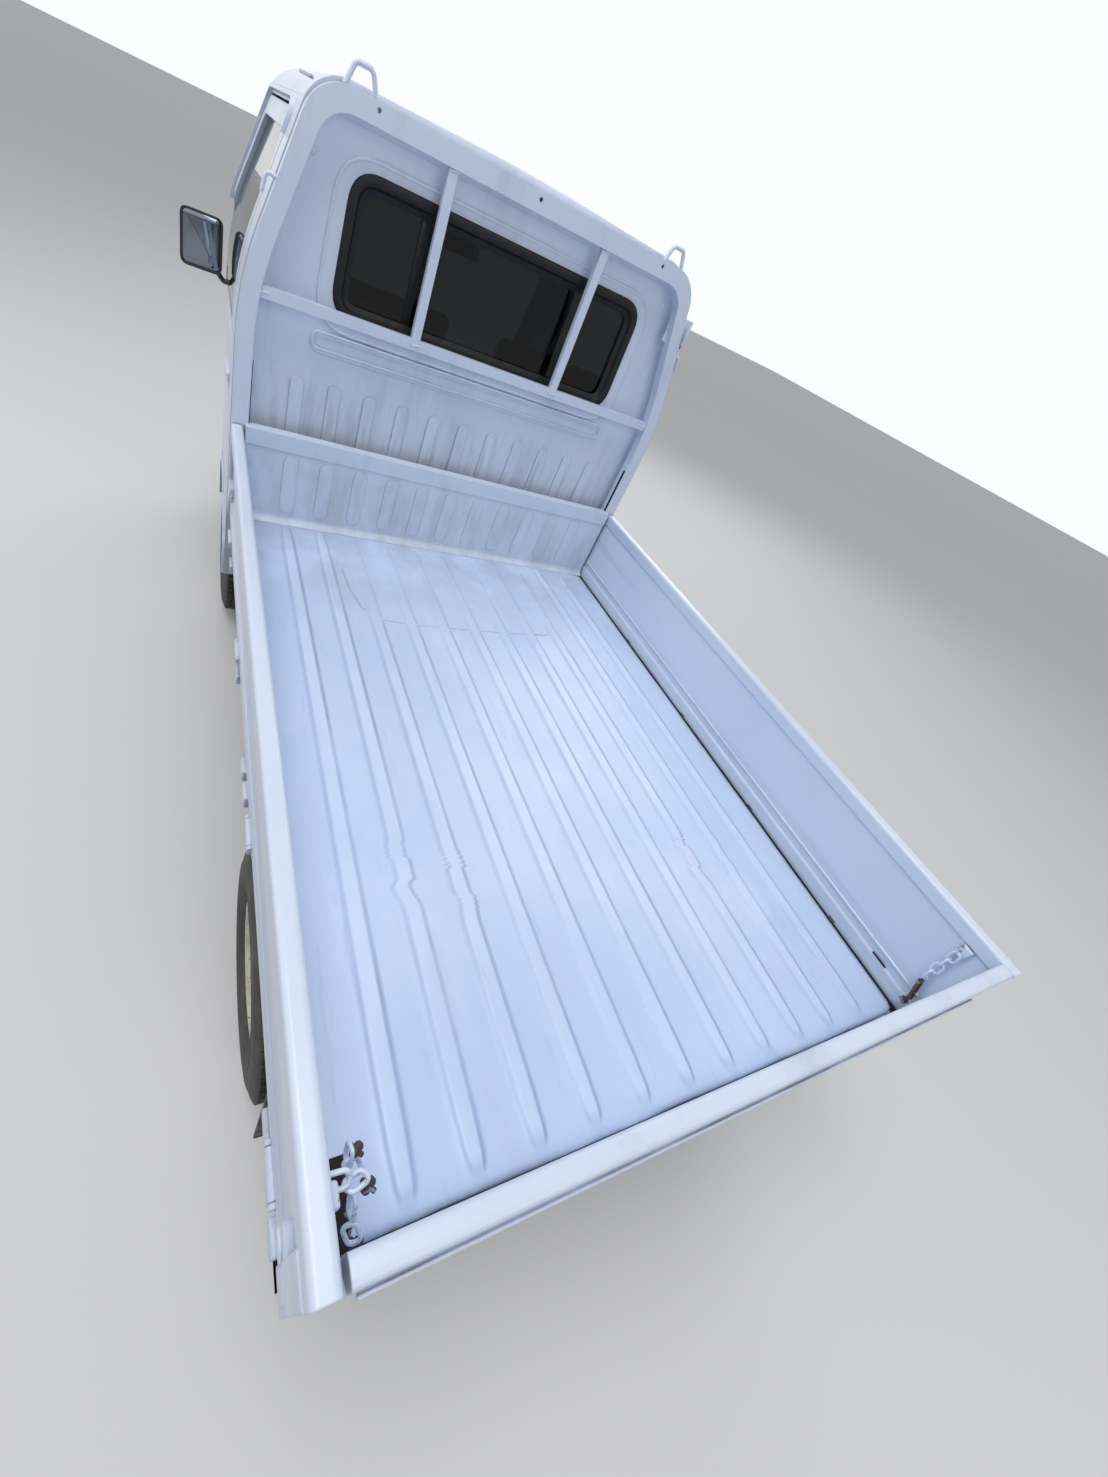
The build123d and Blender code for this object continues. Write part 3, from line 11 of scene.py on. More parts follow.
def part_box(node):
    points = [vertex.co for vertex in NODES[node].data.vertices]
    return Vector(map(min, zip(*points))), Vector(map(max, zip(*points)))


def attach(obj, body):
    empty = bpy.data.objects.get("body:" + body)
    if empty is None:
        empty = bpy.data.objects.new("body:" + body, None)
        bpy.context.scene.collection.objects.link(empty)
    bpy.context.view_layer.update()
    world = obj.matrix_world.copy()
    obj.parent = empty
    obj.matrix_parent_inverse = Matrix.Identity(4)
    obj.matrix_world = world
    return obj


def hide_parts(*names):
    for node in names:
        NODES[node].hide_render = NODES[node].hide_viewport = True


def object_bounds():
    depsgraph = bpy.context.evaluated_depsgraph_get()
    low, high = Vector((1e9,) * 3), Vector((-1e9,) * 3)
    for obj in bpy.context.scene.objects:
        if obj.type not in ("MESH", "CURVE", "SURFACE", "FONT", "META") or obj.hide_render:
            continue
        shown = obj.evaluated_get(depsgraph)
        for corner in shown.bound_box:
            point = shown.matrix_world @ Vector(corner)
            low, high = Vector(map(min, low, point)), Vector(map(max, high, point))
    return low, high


bl_info = {
    "name": "Kei Truck",
    "version": (1, 0, 0),
    "blender": (4, 5, 0),
    "location": "View3D > Sidebar > Kei Truck",
    "description": "Dresses the frame of a small flatbed truck",
    "category": "Object",
}

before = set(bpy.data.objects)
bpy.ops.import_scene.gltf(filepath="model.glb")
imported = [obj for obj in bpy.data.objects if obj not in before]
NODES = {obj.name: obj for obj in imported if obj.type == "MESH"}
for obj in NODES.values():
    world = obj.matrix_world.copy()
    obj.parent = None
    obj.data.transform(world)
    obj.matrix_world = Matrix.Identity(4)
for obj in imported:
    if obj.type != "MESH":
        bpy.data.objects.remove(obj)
CAD_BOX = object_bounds()

FLOOR_LOW, FLOOR_HIGH = map(Vector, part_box("bed_floor"))
HOOP_HIGH = Vector(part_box("guard_hoop")[1])
BACK_HIGH = Vector(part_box("cab_back_panel")[1])
TAIL_LOW, TAIL_HIGH = map(Vector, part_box("tailgate"))
GATE_LOW, GATE_HIGH = map(Vector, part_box("gate_left"))
TRUCK_LOW, TRUCK_HIGH = CAD_BOX
SIDES = (("left", 1), ("right", -1))
TINY = 1e-4  # metres within which two places are one


class PaintSettings(bpy.types.PropertyGroup):
    """Colours of the paint and how dirty it is."""
    body: FloatVectorProperty(
        name="Body paint", description="White of the cab and gates", subtype="COLOR",
        default=(0.58, 0.66, 0.80), min=0, max=1)
    bed: FloatVectorProperty(
        name="Bed paint", description="Scuffed white of the load bed", subtype="COLOR",
        default=(0.55, 0.67, 0.87), min=0, max=1)
    grime: FloatProperty(
        name="Grime", description="How much dirt lies in the seams", subtype="FACTOR",
        default=0.55, min=0, max=1)
    rust: FloatVectorProperty(
        name="Rust", description="Brown of rusted steel", subtype="COLOR",
        default=(0.16, 0.075, 0.035), min=0, max=1)


class BedSettings(bpy.types.PropertyGroup):
    """Pressings of the load floor."""
    pitch: FloatProperty(
        name="Bead pitch", description="From one floor bead to the next", unit="LENGTH", default=0.112)
    count: IntProperty(name="Beads", description="Number of beads across the floor", default=11)
    width: FloatProperty(
        name="Bead width", description="Across a bead's foot", unit="LENGTH", default=0.046)
    height: FloatProperty(
        name="Bead height", description="How far a bead stands up", unit="LENGTH", default=0.005)
    flank: FloatProperty(
        name="Bead flank", description="Across a bead's sloping side", unit="LENGTH", default=0.009)
    sheet: FloatProperty(
        name="Sheet", description="Thickness of the pressed sheet", unit="LENGTH", default=0.0025)


class StageSettings(bpy.types.PropertyGroup):
    """Camera, lamps and floor."""
    place: FloatVectorProperty(
        name="Camera place", description="Where the camera stands", subtype="TRANSLATION",
        unit="LENGTH", default=(0.8311, 1.6804, 1.6717))
    turn: FloatVectorProperty(
        name="Camera turn", description="The camera's XYZ rotation", subtype="EULER",
        unit="ROTATION", default=tuple(math.radians(angle) for angle in (47.56, -20.984, 159.255)))
    lens: FloatProperty(
        name="Lens", description="Focal length in millimetres on a 36 mm sensor", default=13.73)
    shift: FloatVectorProperty(
        name="Shift", description="Shift of the lens, across and up", size=2, default=(0.0316, -0.0073))
    daylight: FloatProperty(
        name="Daylight", description="Strength of the even light all round", default=0.42)


class TruckSettings(bpy.types.PropertyGroup):
    """All settings of the truck's dressing."""
    paint: PointerProperty(type=PaintSettings)
    bed: PointerProperty(type=BedSettings)
    stage: PointerProperty(type=StageSettings)


# Modelling by hand
def clear():
    """Leave edit mode and deselect everything."""
    if bpy.context.mode != "OBJECT":
        bpy.ops.object.mode_set(mode="OBJECT")
    bpy.ops.object.select_all(action="DESELECT")


def only(obj):
    """Select one object and make it active."""
    clear()
    obj.select_set(True)
    bpy.context.view_layer.objects.active = obj


def add(kind, name, **settings):
    """Add a mesh primitive under a plain name."""
    clear()
    getattr(bpy.ops.mesh, f"primitive_{kind}_add")(**settings)
    obj = bpy.context.object
    obj.name = obj.data.name = name
    return obj


@contextmanager
def editing(obj, what="FACE"):
    """Edit mode on one object, with nothing selected at first."""
    only(obj)
    bpy.ops.object.mode_set(mode="EDIT")
    bpy.ops.mesh.select_mode(type=what)
    bpy.ops.mesh.select_all(action="DESELECT")
    yield
    bpy.ops.object.mode_set(mode="OBJECT")


def pick_faces(obj, wanted):
    """Select the faces whose centre and normal pass the test."""
    mesh = bmesh.from_edit_mesh(obj.data)
    bpy.ops.mesh.select_all(action="DESELECT")
    for face in mesh.faces:
        face.select_set(wanted(face.calc_center_median(), face.normal))
    bmesh.update_edit_mesh(obj.data)


def pick_points(obj, wanted):
    """Select the vertices whose place passes the test."""
    mesh = bmesh.from_edit_mesh(obj.data)
    bpy.ops.mesh.select_all(action="DESELECT")
    for point in mesh.verts:
        point.select_set(wanted(point.co))
    mesh.select_flush(True)
    bmesh.update_edit_mesh(obj.data)


def pick_edges(obj, wanted):
    """Select the edges whose two ends pass the test."""
    mesh = bmesh.from_edit_mesh(obj.data)
    bpy.ops.mesh.select_all(action="DESELECT")
    for edge in mesh.edges:
        edge.select_set(wanted(edge.verts[0].co, edge.verts[1].co))
    bmesh.update_edit_mesh(obj.data)


def cut(place, normal, **settings):
    """Cut all of the mesh under edit along a plane."""
    bpy.ops.mesh.select_all(action="SELECT")
    bpy.ops.mesh.bisect(plane_co=place, plane_no=normal, **settings)


def merge_doubles(threshold=1e-5):
    """Select all of the mesh under edit and merge its doubles."""
    bpy.ops.mesh.select_all(action="SELECT")
    bpy.ops.mesh.remove_doubles(threshold=threshold)


def shaped(obj, kind, **settings):
    """Add a modifier and apply it."""
    only(obj)
    change = obj.modifiers.new(kind.title(), kind)
    for key, value in settings.items():
        setattr(change, key, value)
    bpy.ops.object.modifier_apply(modifier=change.name)
    return obj


def settle(obj):
    """Put the object's origin at the frame's, with its place in the mesh."""
    only(obj)
    bpy.ops.object.transform_apply(location=True, rotation=True, scale=True)


def outward(obj):
    """Merge doubles and turn the faces outwards."""
    with editing(obj):
        merge_doubles()
        bpy.ops.mesh.normals_make_consistent(inside=False)


def dressed(obj, finish, body, smooth=35):
    """Give a finished piece its material and body."""
    settle(obj)
    bpy.ops.object.shade_smooth_by_angle(angle=math.radians(smooth))
    obj.data.materials.clear()
    obj.data.materials.append(FINISHES[finish])
    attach(obj, body)


def copied(obj, name, move=(0, 0, 0), flip=False):
    """A copy with its own mesh, moved, or mirrored to the truck's other side."""
    twin = obj.copy()
    twin.data = obj.data.copy()
    twin.name = twin.data.name = name
    bpy.context.scene.collection.objects.link(twin)
    only(twin)
    if flip:
        twin.data.transform(Matrix.Diagonal((-1, 1, 1, 1)))
        twin.data.flip_normals()
    twin.data.transform(Matrix.Translation(move))
    return twin


def joined(parts, name):
    """Several objects as one."""
    clear()
    for part in parts:
        part.select_set(True)
    bpy.context.view_layer.objects.active = parts[0]
    if len(parts) > 1:
        bpy.ops.object.join()
    obj = bpy.context.object
    obj.name = obj.data.name = name
    return obj


def block(name, low, high, bevel=0.0, steps=2):
    """A block between two corners with rounded edges."""
    low, high = Vector(low), Vector(high)
    obj = add("cube", name, size=1, location=(low + high) / 2)
    obj.scale = high - low
    settle(obj)
    if bevel:
        shaped(obj, "BEVEL", width=bevel, segments=steps, limit_method="ANGLE")
    return obj


def sided(name, sign, low, high, bevel=0.0, steps=2):
    """A block given for the left side, on the side of the sign."""
    near, far = sorted((sign * low[0], sign * high[0]))
    return block(name, (near, *low[1:]), (far, *high[1:]), bevel, steps)


def turned(name, rows, centre=(0, 0, 0), axis="Z", steps=48, closed=True):
    """A lathe shape: rows of (height along the axis, radius) from one end to the other."""
    (height, radius), *rest = rows
    obj = add("circle", name, vertices=steps, radius=radius, location=(0, 0, height), fill_type="NOTHING")
    settle(obj)
    with editing(obj, "EDGE"):
        bpy.ops.mesh.select_all(action="SELECT")
        if closed:
            bpy.ops.mesh.edge_face_add()
        for next_height, next_radius in rest:
            grow = next_radius / radius
            bpy.ops.mesh.extrude_region_move(TRANSFORM_OT_translate={"value": (0, 0, next_height - height)})
            bpy.ops.transform.resize(value=(grow, grow, 1), center_override=(0, 0, next_height))
            height, radius = next_height, next_radius
    outward(obj)
    turn = {"X": Matrix.Rotation(math.pi / 2, 4, "Y"), "Y": Matrix.Rotation(-math.pi / 2, 4, "X")}
    if axis in turn:
        obj.matrix_world = turn[axis]
        settle(obj)
    obj.location = centre
    settle(obj)
    return obj


def tube(name, points, radius, bend=0.0, closed=False, sides=4):
    """A round bar along straight runs with rounded corners."""
    clear()
    bpy.ops.curve.primitive_bezier_curve_add()
    obj = bpy.context.object
    obj.name = obj.data.name = name
    line = obj.data
    line.splines.clear()
    run = line.splines.new("POLY")
    rounded = corners_rounded([Vector(point) for point in points], bend, closed)
    run.points.add(len(rounded) - 1)
    for point, place in zip(run.points, rounded):
        point.co = (*place, 1)
    run.use_cyclic_u = closed
    line.dimensions = "3D"
    line.bevel_depth = radius
    line.bevel_resolution = sides
    line.use_fill_caps = True
    only(obj)
    bpy.ops.object.convert(target="MESH")
    obj = bpy.context.object
    obj.name = obj.data.name = name
    settle(obj)
    outward(obj)
    return obj


def corners_rounded(points, bend, closed, steps=6):
    """The points with each corner replaced by an arc."""
    if not bend:
        return points
    line = []
    count = len(points)
    for number, corner in enumerate(points):
        if not closed and number in (0, count - 1):
            line.append(corner)
            continue
        back = points[number - 1] - corner
        ahead = points[(number + 1) % count] - corner
        angle = back.angle(ahead)
        reach = min(bend / math.tan(angle / 2), back.length * 0.49, ahead.length * 0.49)
        start, end = corner + back.normalized() * reach, corner + ahead.normalized() * reach
        for step in range(steps + 1):
            t = step / steps
            line.append(start * (1 - t) ** 2 + corner * 2 * t * (1 - t) + end * t ** 2)
    return line


def sheet_outline(name, corners, bend, steps=8):
    """A flat face in the XY plane with rounded corners, from a table of (x, y)."""
    obj = add("plane", name, size=1)
    line = corners_rounded([Vector((x, y, 0)) for x, y in corners], bend, True, steps)
    with editing(obj, "VERT"):
        bpy.ops.mesh.select_all(action="SELECT")
        bpy.ops.mesh.merge(type="CENTER")
        bpy.ops.transform.translate(value=line[0])
        for start, end in zip(line, line[1:]):
            bpy.ops.mesh.extrude_region_move(TRANSFORM_OT_translate={"value": end - start})
        merge_doubles(1e-6)
        bpy.ops.mesh.edge_face_add()
    if obj.data.polygons[0].normal.z < 0:
        obj.data.flip_normals()
    return obj


def oblong(left, low, right, high):
    """The four corners of a rectangle, for sheet_outline."""
    return [(left, low), (right, low), (right, high), (left, high)]


def pressed(obj, steps, hole=False):
    """Press the face of a sheet in rings: a table of (width, rise) from the rim inwards."""
    with editing(obj):
        bpy.ops.mesh.select_all(action="SELECT")
        for width, rise in steps:
            bpy.ops.mesh.inset(thickness=width, depth=rise)
        if hole:
            bpy.ops.mesh.delete(type="FACE")


def stood(obj, facing, place):
    """Stand a flat sheet up so that its +Z looks to the rear (+Y) or ahead (-Y), at a place."""
    turns = {
        "+Y": Matrix(((-1, 0, 0), (0, 0, 1), (0, 1, 0))).to_4x4(),
        "-Y": Matrix(((1, 0, 0), (0, 0, -1), (0, 1, 0))).to_4x4(),
    }
    obj.data.transform(Matrix.Translation(place) @ turns[facing])


def landed(node, start, way):
    """Where a straight line first meets a node of the frame."""
    hit, place, _, _ = NODES[node].ray_cast(Vector(start), Vector(way).normalized())
    if not hit:
        raise ValueError(f"nothing of {node} lies that way")
    return place


def ahead(node, x, z):
    """Where a node is first met from in front."""
    return landed(node, (x, TRUCK_LOW.y - 1, z), (0, 1, 0))


def kept(obj, place, normal):
    """Keep what lies on the side of a plane that the normal points to, and close the cut."""
    with editing(obj):
        cut(place, normal, use_fill=True, clear_inner=True)
    return obj


def merged_copy(node, name):
    """A copy of a node of the frame with its triangles joined."""
    twin = copied(NODES[node], name)
    with editing(twin):
        merge_doubles()
    return twin


# Finishes
class Finish:
    """A material under way: one Principled shader and the patterns that feed it."""

    def __init__(self, name, colour, roughness=0.5, **sockets):
        self.material = bpy.data.materials.new(name)
        self.material.use_nodes = True
        self.tree = self.material.node_tree
        self.shader = self.tree.nodes["Principled BSDF"]
        self.place = self.add("ShaderNodeTexCoord").outputs["Object"]
        self.colour = (*colour, 1)
        self.height = None
        self.set("Base Color", self.colour)
        self.set("Roughness", roughness)
        for key, value in sockets.items():
            self.set(key.replace("_", " "), value)

    def add(self, kind, **settings):
        made = self.tree.nodes.new(kind)
        for key, value in settings.items():
            setattr(made, key, value)
        return made

    def set(self, socket, value):
        self.shader.inputs[socket].default_value = value

    def feed(self, node, socket, value):
        """Link an output, or set a plain value."""
        target = node.inputs[socket]
        if isinstance(value, bpy.types.NodeSocket):
            self.tree.links.new(value, target)
        else:
            target.default_value = value

    def noise(self, scale, detail=4.0, roughness=0.55, stretch=(1, 1, 1), shift=(0, 0, 0), warp=0.0):
        """Cloudy pattern, 0 to 1, finer with scale, drawn out by a small stretch."""
        spot = self.add("ShaderNodeMapping")
        self.feed(spot, "Vector", self.place)
        self.feed(spot, "Scale", stretch)
        self.feed(spot, "Location", shift)
        made = self.add("ShaderNodeTexNoise")
        self.feed(made, "Vector", spot.outputs[0])
        for socket, value in (("Scale", scale), ("Detail", detail), ("Roughness", roughness), ("Distortion", warp)):
            self.feed(made, socket, value)
        return made.outputs["Fac"]

    def ramp(self, source, low, high, to_low=0.0, to_high=1.0):
        """Remap a range, held at its ends."""
        made = self.add("ShaderNodeMapRange")
        for socket, value in (("Value", source), ("From Min", low), ("From Max", high),
                              ("To Min", to_low), ("To Max", to_high)):
            self.feed(made, socket, value)
        return made.outputs[0]

    def maths(self, how, one, two):
        made = self.add("ShaderNodeMath", operation=how)
        self.feed(made, 0, one)
        self.feed(made, 1, two)
        return made.outputs[0]

    def product(self, first, *rest):
        """Several masks multiplied."""
        for mask in rest:
            first = self.maths("MULTIPLY", first, mask)
        return first

    def axis(self, letter):
        """Place along one axis of the frame, in metres."""
        made = self.add("ShaderNodeSeparateXYZ")
        self.feed(made, 0, self.place)
        return made.outputs[letter]

    def along(self, letter, start, end):
        """0 at one place along an axis, rising to 1 at another."""
        return self.ramp(self.axis(letter), start, end)

    def stain(self, mask, colour):
        """Lay a colour over what is there, by a mask."""
        mix = self.add("ShaderNodeMix", data_type="RGBA")
        self.feed(mix, 0, mask)
        self.feed(mix, 6, self.colour)
        self.feed(mix, 7, (*colour, 1))
        self.colour = mix.outputs[2]
        self.tree.links.new(self.colour, self.shader.inputs["Base Color"])

    def mottle(self, pattern, low, high, cover, colour, *masks):
        """Stain by a pattern between two of its values, up to a cover, within masks."""
        self.stain(self.product(self.ramp(pattern, low, high, 0.0, cover), *masks), colour)

    def rough(self, source, low, high, smooth, coarse):
        """Drive roughness from a pattern."""
        self.feed(self.shader, "Roughness", self.ramp(source, low, high, smooth, coarse))

    def edges(self, radius):
        """Round the sharp edges to the eye. It comes before any relief."""
        bevel = self.add("ShaderNodeBevel", samples=4)
        self.feed(bevel, "Radius", radius)
        self.height = bevel.outputs[0]
        self.tree.links.new(self.height, self.shader.inputs["Normal"])

    def relief(self, source, distance, strength):
        """Raise the surface by a pattern, in metres."""
        bump = self.add("ShaderNodeBump")
        self.feed(bump, "Height", source)
        self.feed(bump, "Distance", distance)
        self.feed(bump, "Strength", strength)
        if self.height:
            self.feed(bump, "Normal", self.height)
        self.height = bump.outputs[0]
        self.tree.links.new(self.height, self.shader.inputs["Normal"])


def crevice(made, reach):
    """0 in the open, 1 deep in a corner, by ambient occlusion: the mask for painted shade in corners."""
    shade = made.add("ShaderNodeAmbientOcclusion", samples=6)
    made.feed(shade, "Distance", reach)
    return made.maths("SUBTRACT", 1.0, shade.outputs["AO"])


def body_paint(paint):
    """Gloss white with a film of dust, runs of dirt, smudges behind the cab and dark grey seams of grime and painted
    shade.
    """
    made = Finish("body_paint", paint.body, 0.32, Coat_Weight=0.2, Coat_Roughness=0.15)
    made.edges(0.0035)
    made.mottle(made.noise(2.2, 5), 0.42, 0.72, 0.45, (0.50, 0.58, 0.74))
    across = made.axis("X")
    gate = made.product(made.ramp(made.product(across, across), 0.484, 0.494), made.along("Z", 0.945, 0.940),
                        made.along("Y", FLOOR_LOW.y, FLOOR_LOW.y + 0.01))
    runs = made.noise(7.0, 6, 0.6, stretch=(1, 1, 0.07))
    made.mottle(runs, 0.54, 0.70, 0.45 * paint.grime, (0.20, 0.25, 0.33), made.maths("SUBTRACT", 1.0, gate))
    # lengthwise streaks on the gates' inner faces: dirt, with painted shade of faint creases
    streaks = made.noise(11.0, 5, stretch=(0.1, 0.045, 1), shift=(0, 3, 1))
    made.mottle(streaks, 0.50, 0.66, 0.65, (0.40, 0.47, 0.60), gate)
    cab_foot = made.product(made.along("Y", BACK_HIGH.y - 0.020, BACK_HIGH.y - 0.006),
                            made.along("Y", BACK_HIGH.y + 0.012, BACK_HIGH.y + 0.004), made.along("Z", 1.18, 0.95))
    splash = made.noise(22.0, 7, 0.7, stretch=(1, 1, 0.14), shift=(2, 0, 0))
    made.mottle(splash, 0.48, 0.68, 0.6, (0.22, 0.25, 0.28), cab_foot)
    board = made.product(made.along("Y", FLOOR_LOW.y - 0.020, FLOOR_LOW.y - 0.012),
                         made.along("Y", FLOOR_LOW.y + 0.026, FLOOR_LOW.y + 0.018), made.along("Z", 0.93, 0.84))
    smudge = made.noise(10.0, 7, 0.66, stretch=(1, 1, 0.32), shift=(4, 0, 2))
    made.mottle(smudge, 0.42, 0.70, 0.50, (0.33, 0.35, 0.37), board)
    spray = made.noise(16.0, 6, 0.7)
    made.mottle(spray, 0.35, 0.75, 0.9 * paint.grime, (0.17, 0.16, 0.145), made.along("Z", 0.75, 0.30))
    # grime and painted shade: darker where ambient occlusion finds corners and seams
    seam = made.ramp(crevice(made, 0.03), 0.40, 0.95, 0.0, 0.9)
    made.mottle(made.noise(9.0, 5), 0.32, 0.58, 1.0, (0.075, 0.08, 0.085), seam)
    made.mottle(made.noise(70.0, 5, 0.75), 0.74, 0.76, 0.8, (0.12, 0.12, 0.12))
    made.rough(spray, 0.3, 0.8, 0.28, 0.48)
    made.relief(made.noise(320.0, 2), 0.00025, 0.25)
    made.relief(made.noise(3.0, 2), 0.004, 0.25)
    return made.material


def bed_paint(paint):
    """Satin white, rubbed and smeared lengthwise and dirty at the headboard; painted shade on the beads' flanks, a
    painted highlight on their crests, and grime with painted shade in the seams.
    """
    made = Finish("bed_paint", paint.bed, 0.42, Coat_Weight=0.1, Coat_Roughness=0.3)
    made.edges(0.004)
    # painted shade on the beads' flanks, by their lean: deeper on the flanks that lean to -x
    flank = made.add("ShaderNodeAttribute", attribute_name="flank").outputs["Fac"]
    made.mottle(flank, 0.10, 0.45, 0.55, (0.28, 0.39, 0.60))
    made.mottle(flank, -0.10, -0.45, 0.80, (0.18, 0.27, 0.46))
    # painted highlight along the beads' crests, by their height
    crest_highlight = made.add("ShaderNodeAttribute", attribute_name="rise").outputs["Fac"]
    made.mottle(crest_highlight, 0.80, 0.98, 0.55, (0.66, 0.77, 0.95))
    made.mottle(made.noise(3.1, 6, warp=0.4), 0.40, 0.66, 0.5, (0.47, 0.60, 0.84))
    pale = made.noise(5.5, 7, 0.65, stretch=(1, 0.45, 1), shift=(3, 1, 0))
    made.mottle(pale, 0.52, 0.72, 0.5, (0.64, 0.75, 0.94))
    smears = made.noise(9.0, 6, stretch=(1, 0.3, 1), shift=(7, 0, 0), warp=0.6)
    made.mottle(smears, 0.56, 0.70, 0.45, (0.55, 0.60, 0.82))
    scuffs = made.noise(26.0, 5, 0.7, stretch=(1, 0.08, 1), shift=(0, 2, 0))
    made.mottle(scuffs, 0.60, 0.76, 0.4, (0.30, 0.38, 0.52))
    near = made.along("Y", FLOOR_LOW.y + 0.60, FLOOR_LOW.y + 0.02)
    made.mottle(made.noise(6.0, 7, 0.62, shift=(5, 0, 0)), 0.36, 0.66, 0.6, (0.29, 0.33, 0.40), near)
    # grime and painted shade: darker where ambient occlusion finds corners and seams
    seam = made.ramp(crevice(made, 0.035), 0.25, 0.95, 0.0, 0.9)
    made.mottle(made.noise(7.0, 6, shift=(0, 0, 4)), 0.38, 0.60, 1.0, (0.10, 0.105, 0.11), seam)
    made.mottle(made.noise(140.0, 3, 0.7), 0.735, 0.77, 0.6, (0.10, 0.11, 0.13))
    made.rough(pale, 0.35, 0.75, 0.34, 0.58)
    made.relief(made.noise(240.0, 3), 0.0004, 0.3)
    made.relief(made.noise(4.5, 3), 0.006, 0.30)
    return made.material


def rim_enamel(paint):
    """Cream enamel of the wheels, gritty and rusting, with grime and painted shade in the corners."""
    made = Finish("rim_enamel", (0.62, 0.61, 0.55), 0.38, Coat_Weight=0.1)
    grit = made.noise(18.0, 7, 0.68)
    made.mottle(grit, 0.45, 0.72, 0.75, (0.20, 0.17, 0.14))
    # grime and painted shade in the wheel's corners, by ambient occlusion
    made.mottle(crevice(made, 0.02), 0.4, 0.95, 0.9, (0.11, 0.085, 0.065))
    made.mottle(made.noise(60.0, 5), 0.66, 0.72, 1.0, paint.rust)
    made.rough(grit, 0.3, 0.7, 0.34, 0.7)
    return made.material


def plain(name, colour, roughness, own, *stains, rough=None, relief=None, **sockets):
    """A finish of few patterns, from tables: its own noise, stains of (noise, or None for its own, low, high,
    cover, colour), roughness of (low, high, smooth, coarse) and relief of (noise or None, metres, strength)."""
    made = Finish(name, colour, roughness, **sockets)
    own = made.noise(*own)
    for noise, *levels in stains:
        made.mottle(made.noise(*noise) if noise else own, *levels)
    if rough:
        made.rough(own, *rough)
    if relief:
        noise, *levels = relief
        made.relief(made.noise(*noise) if noise else own, *levels)
    return made.material


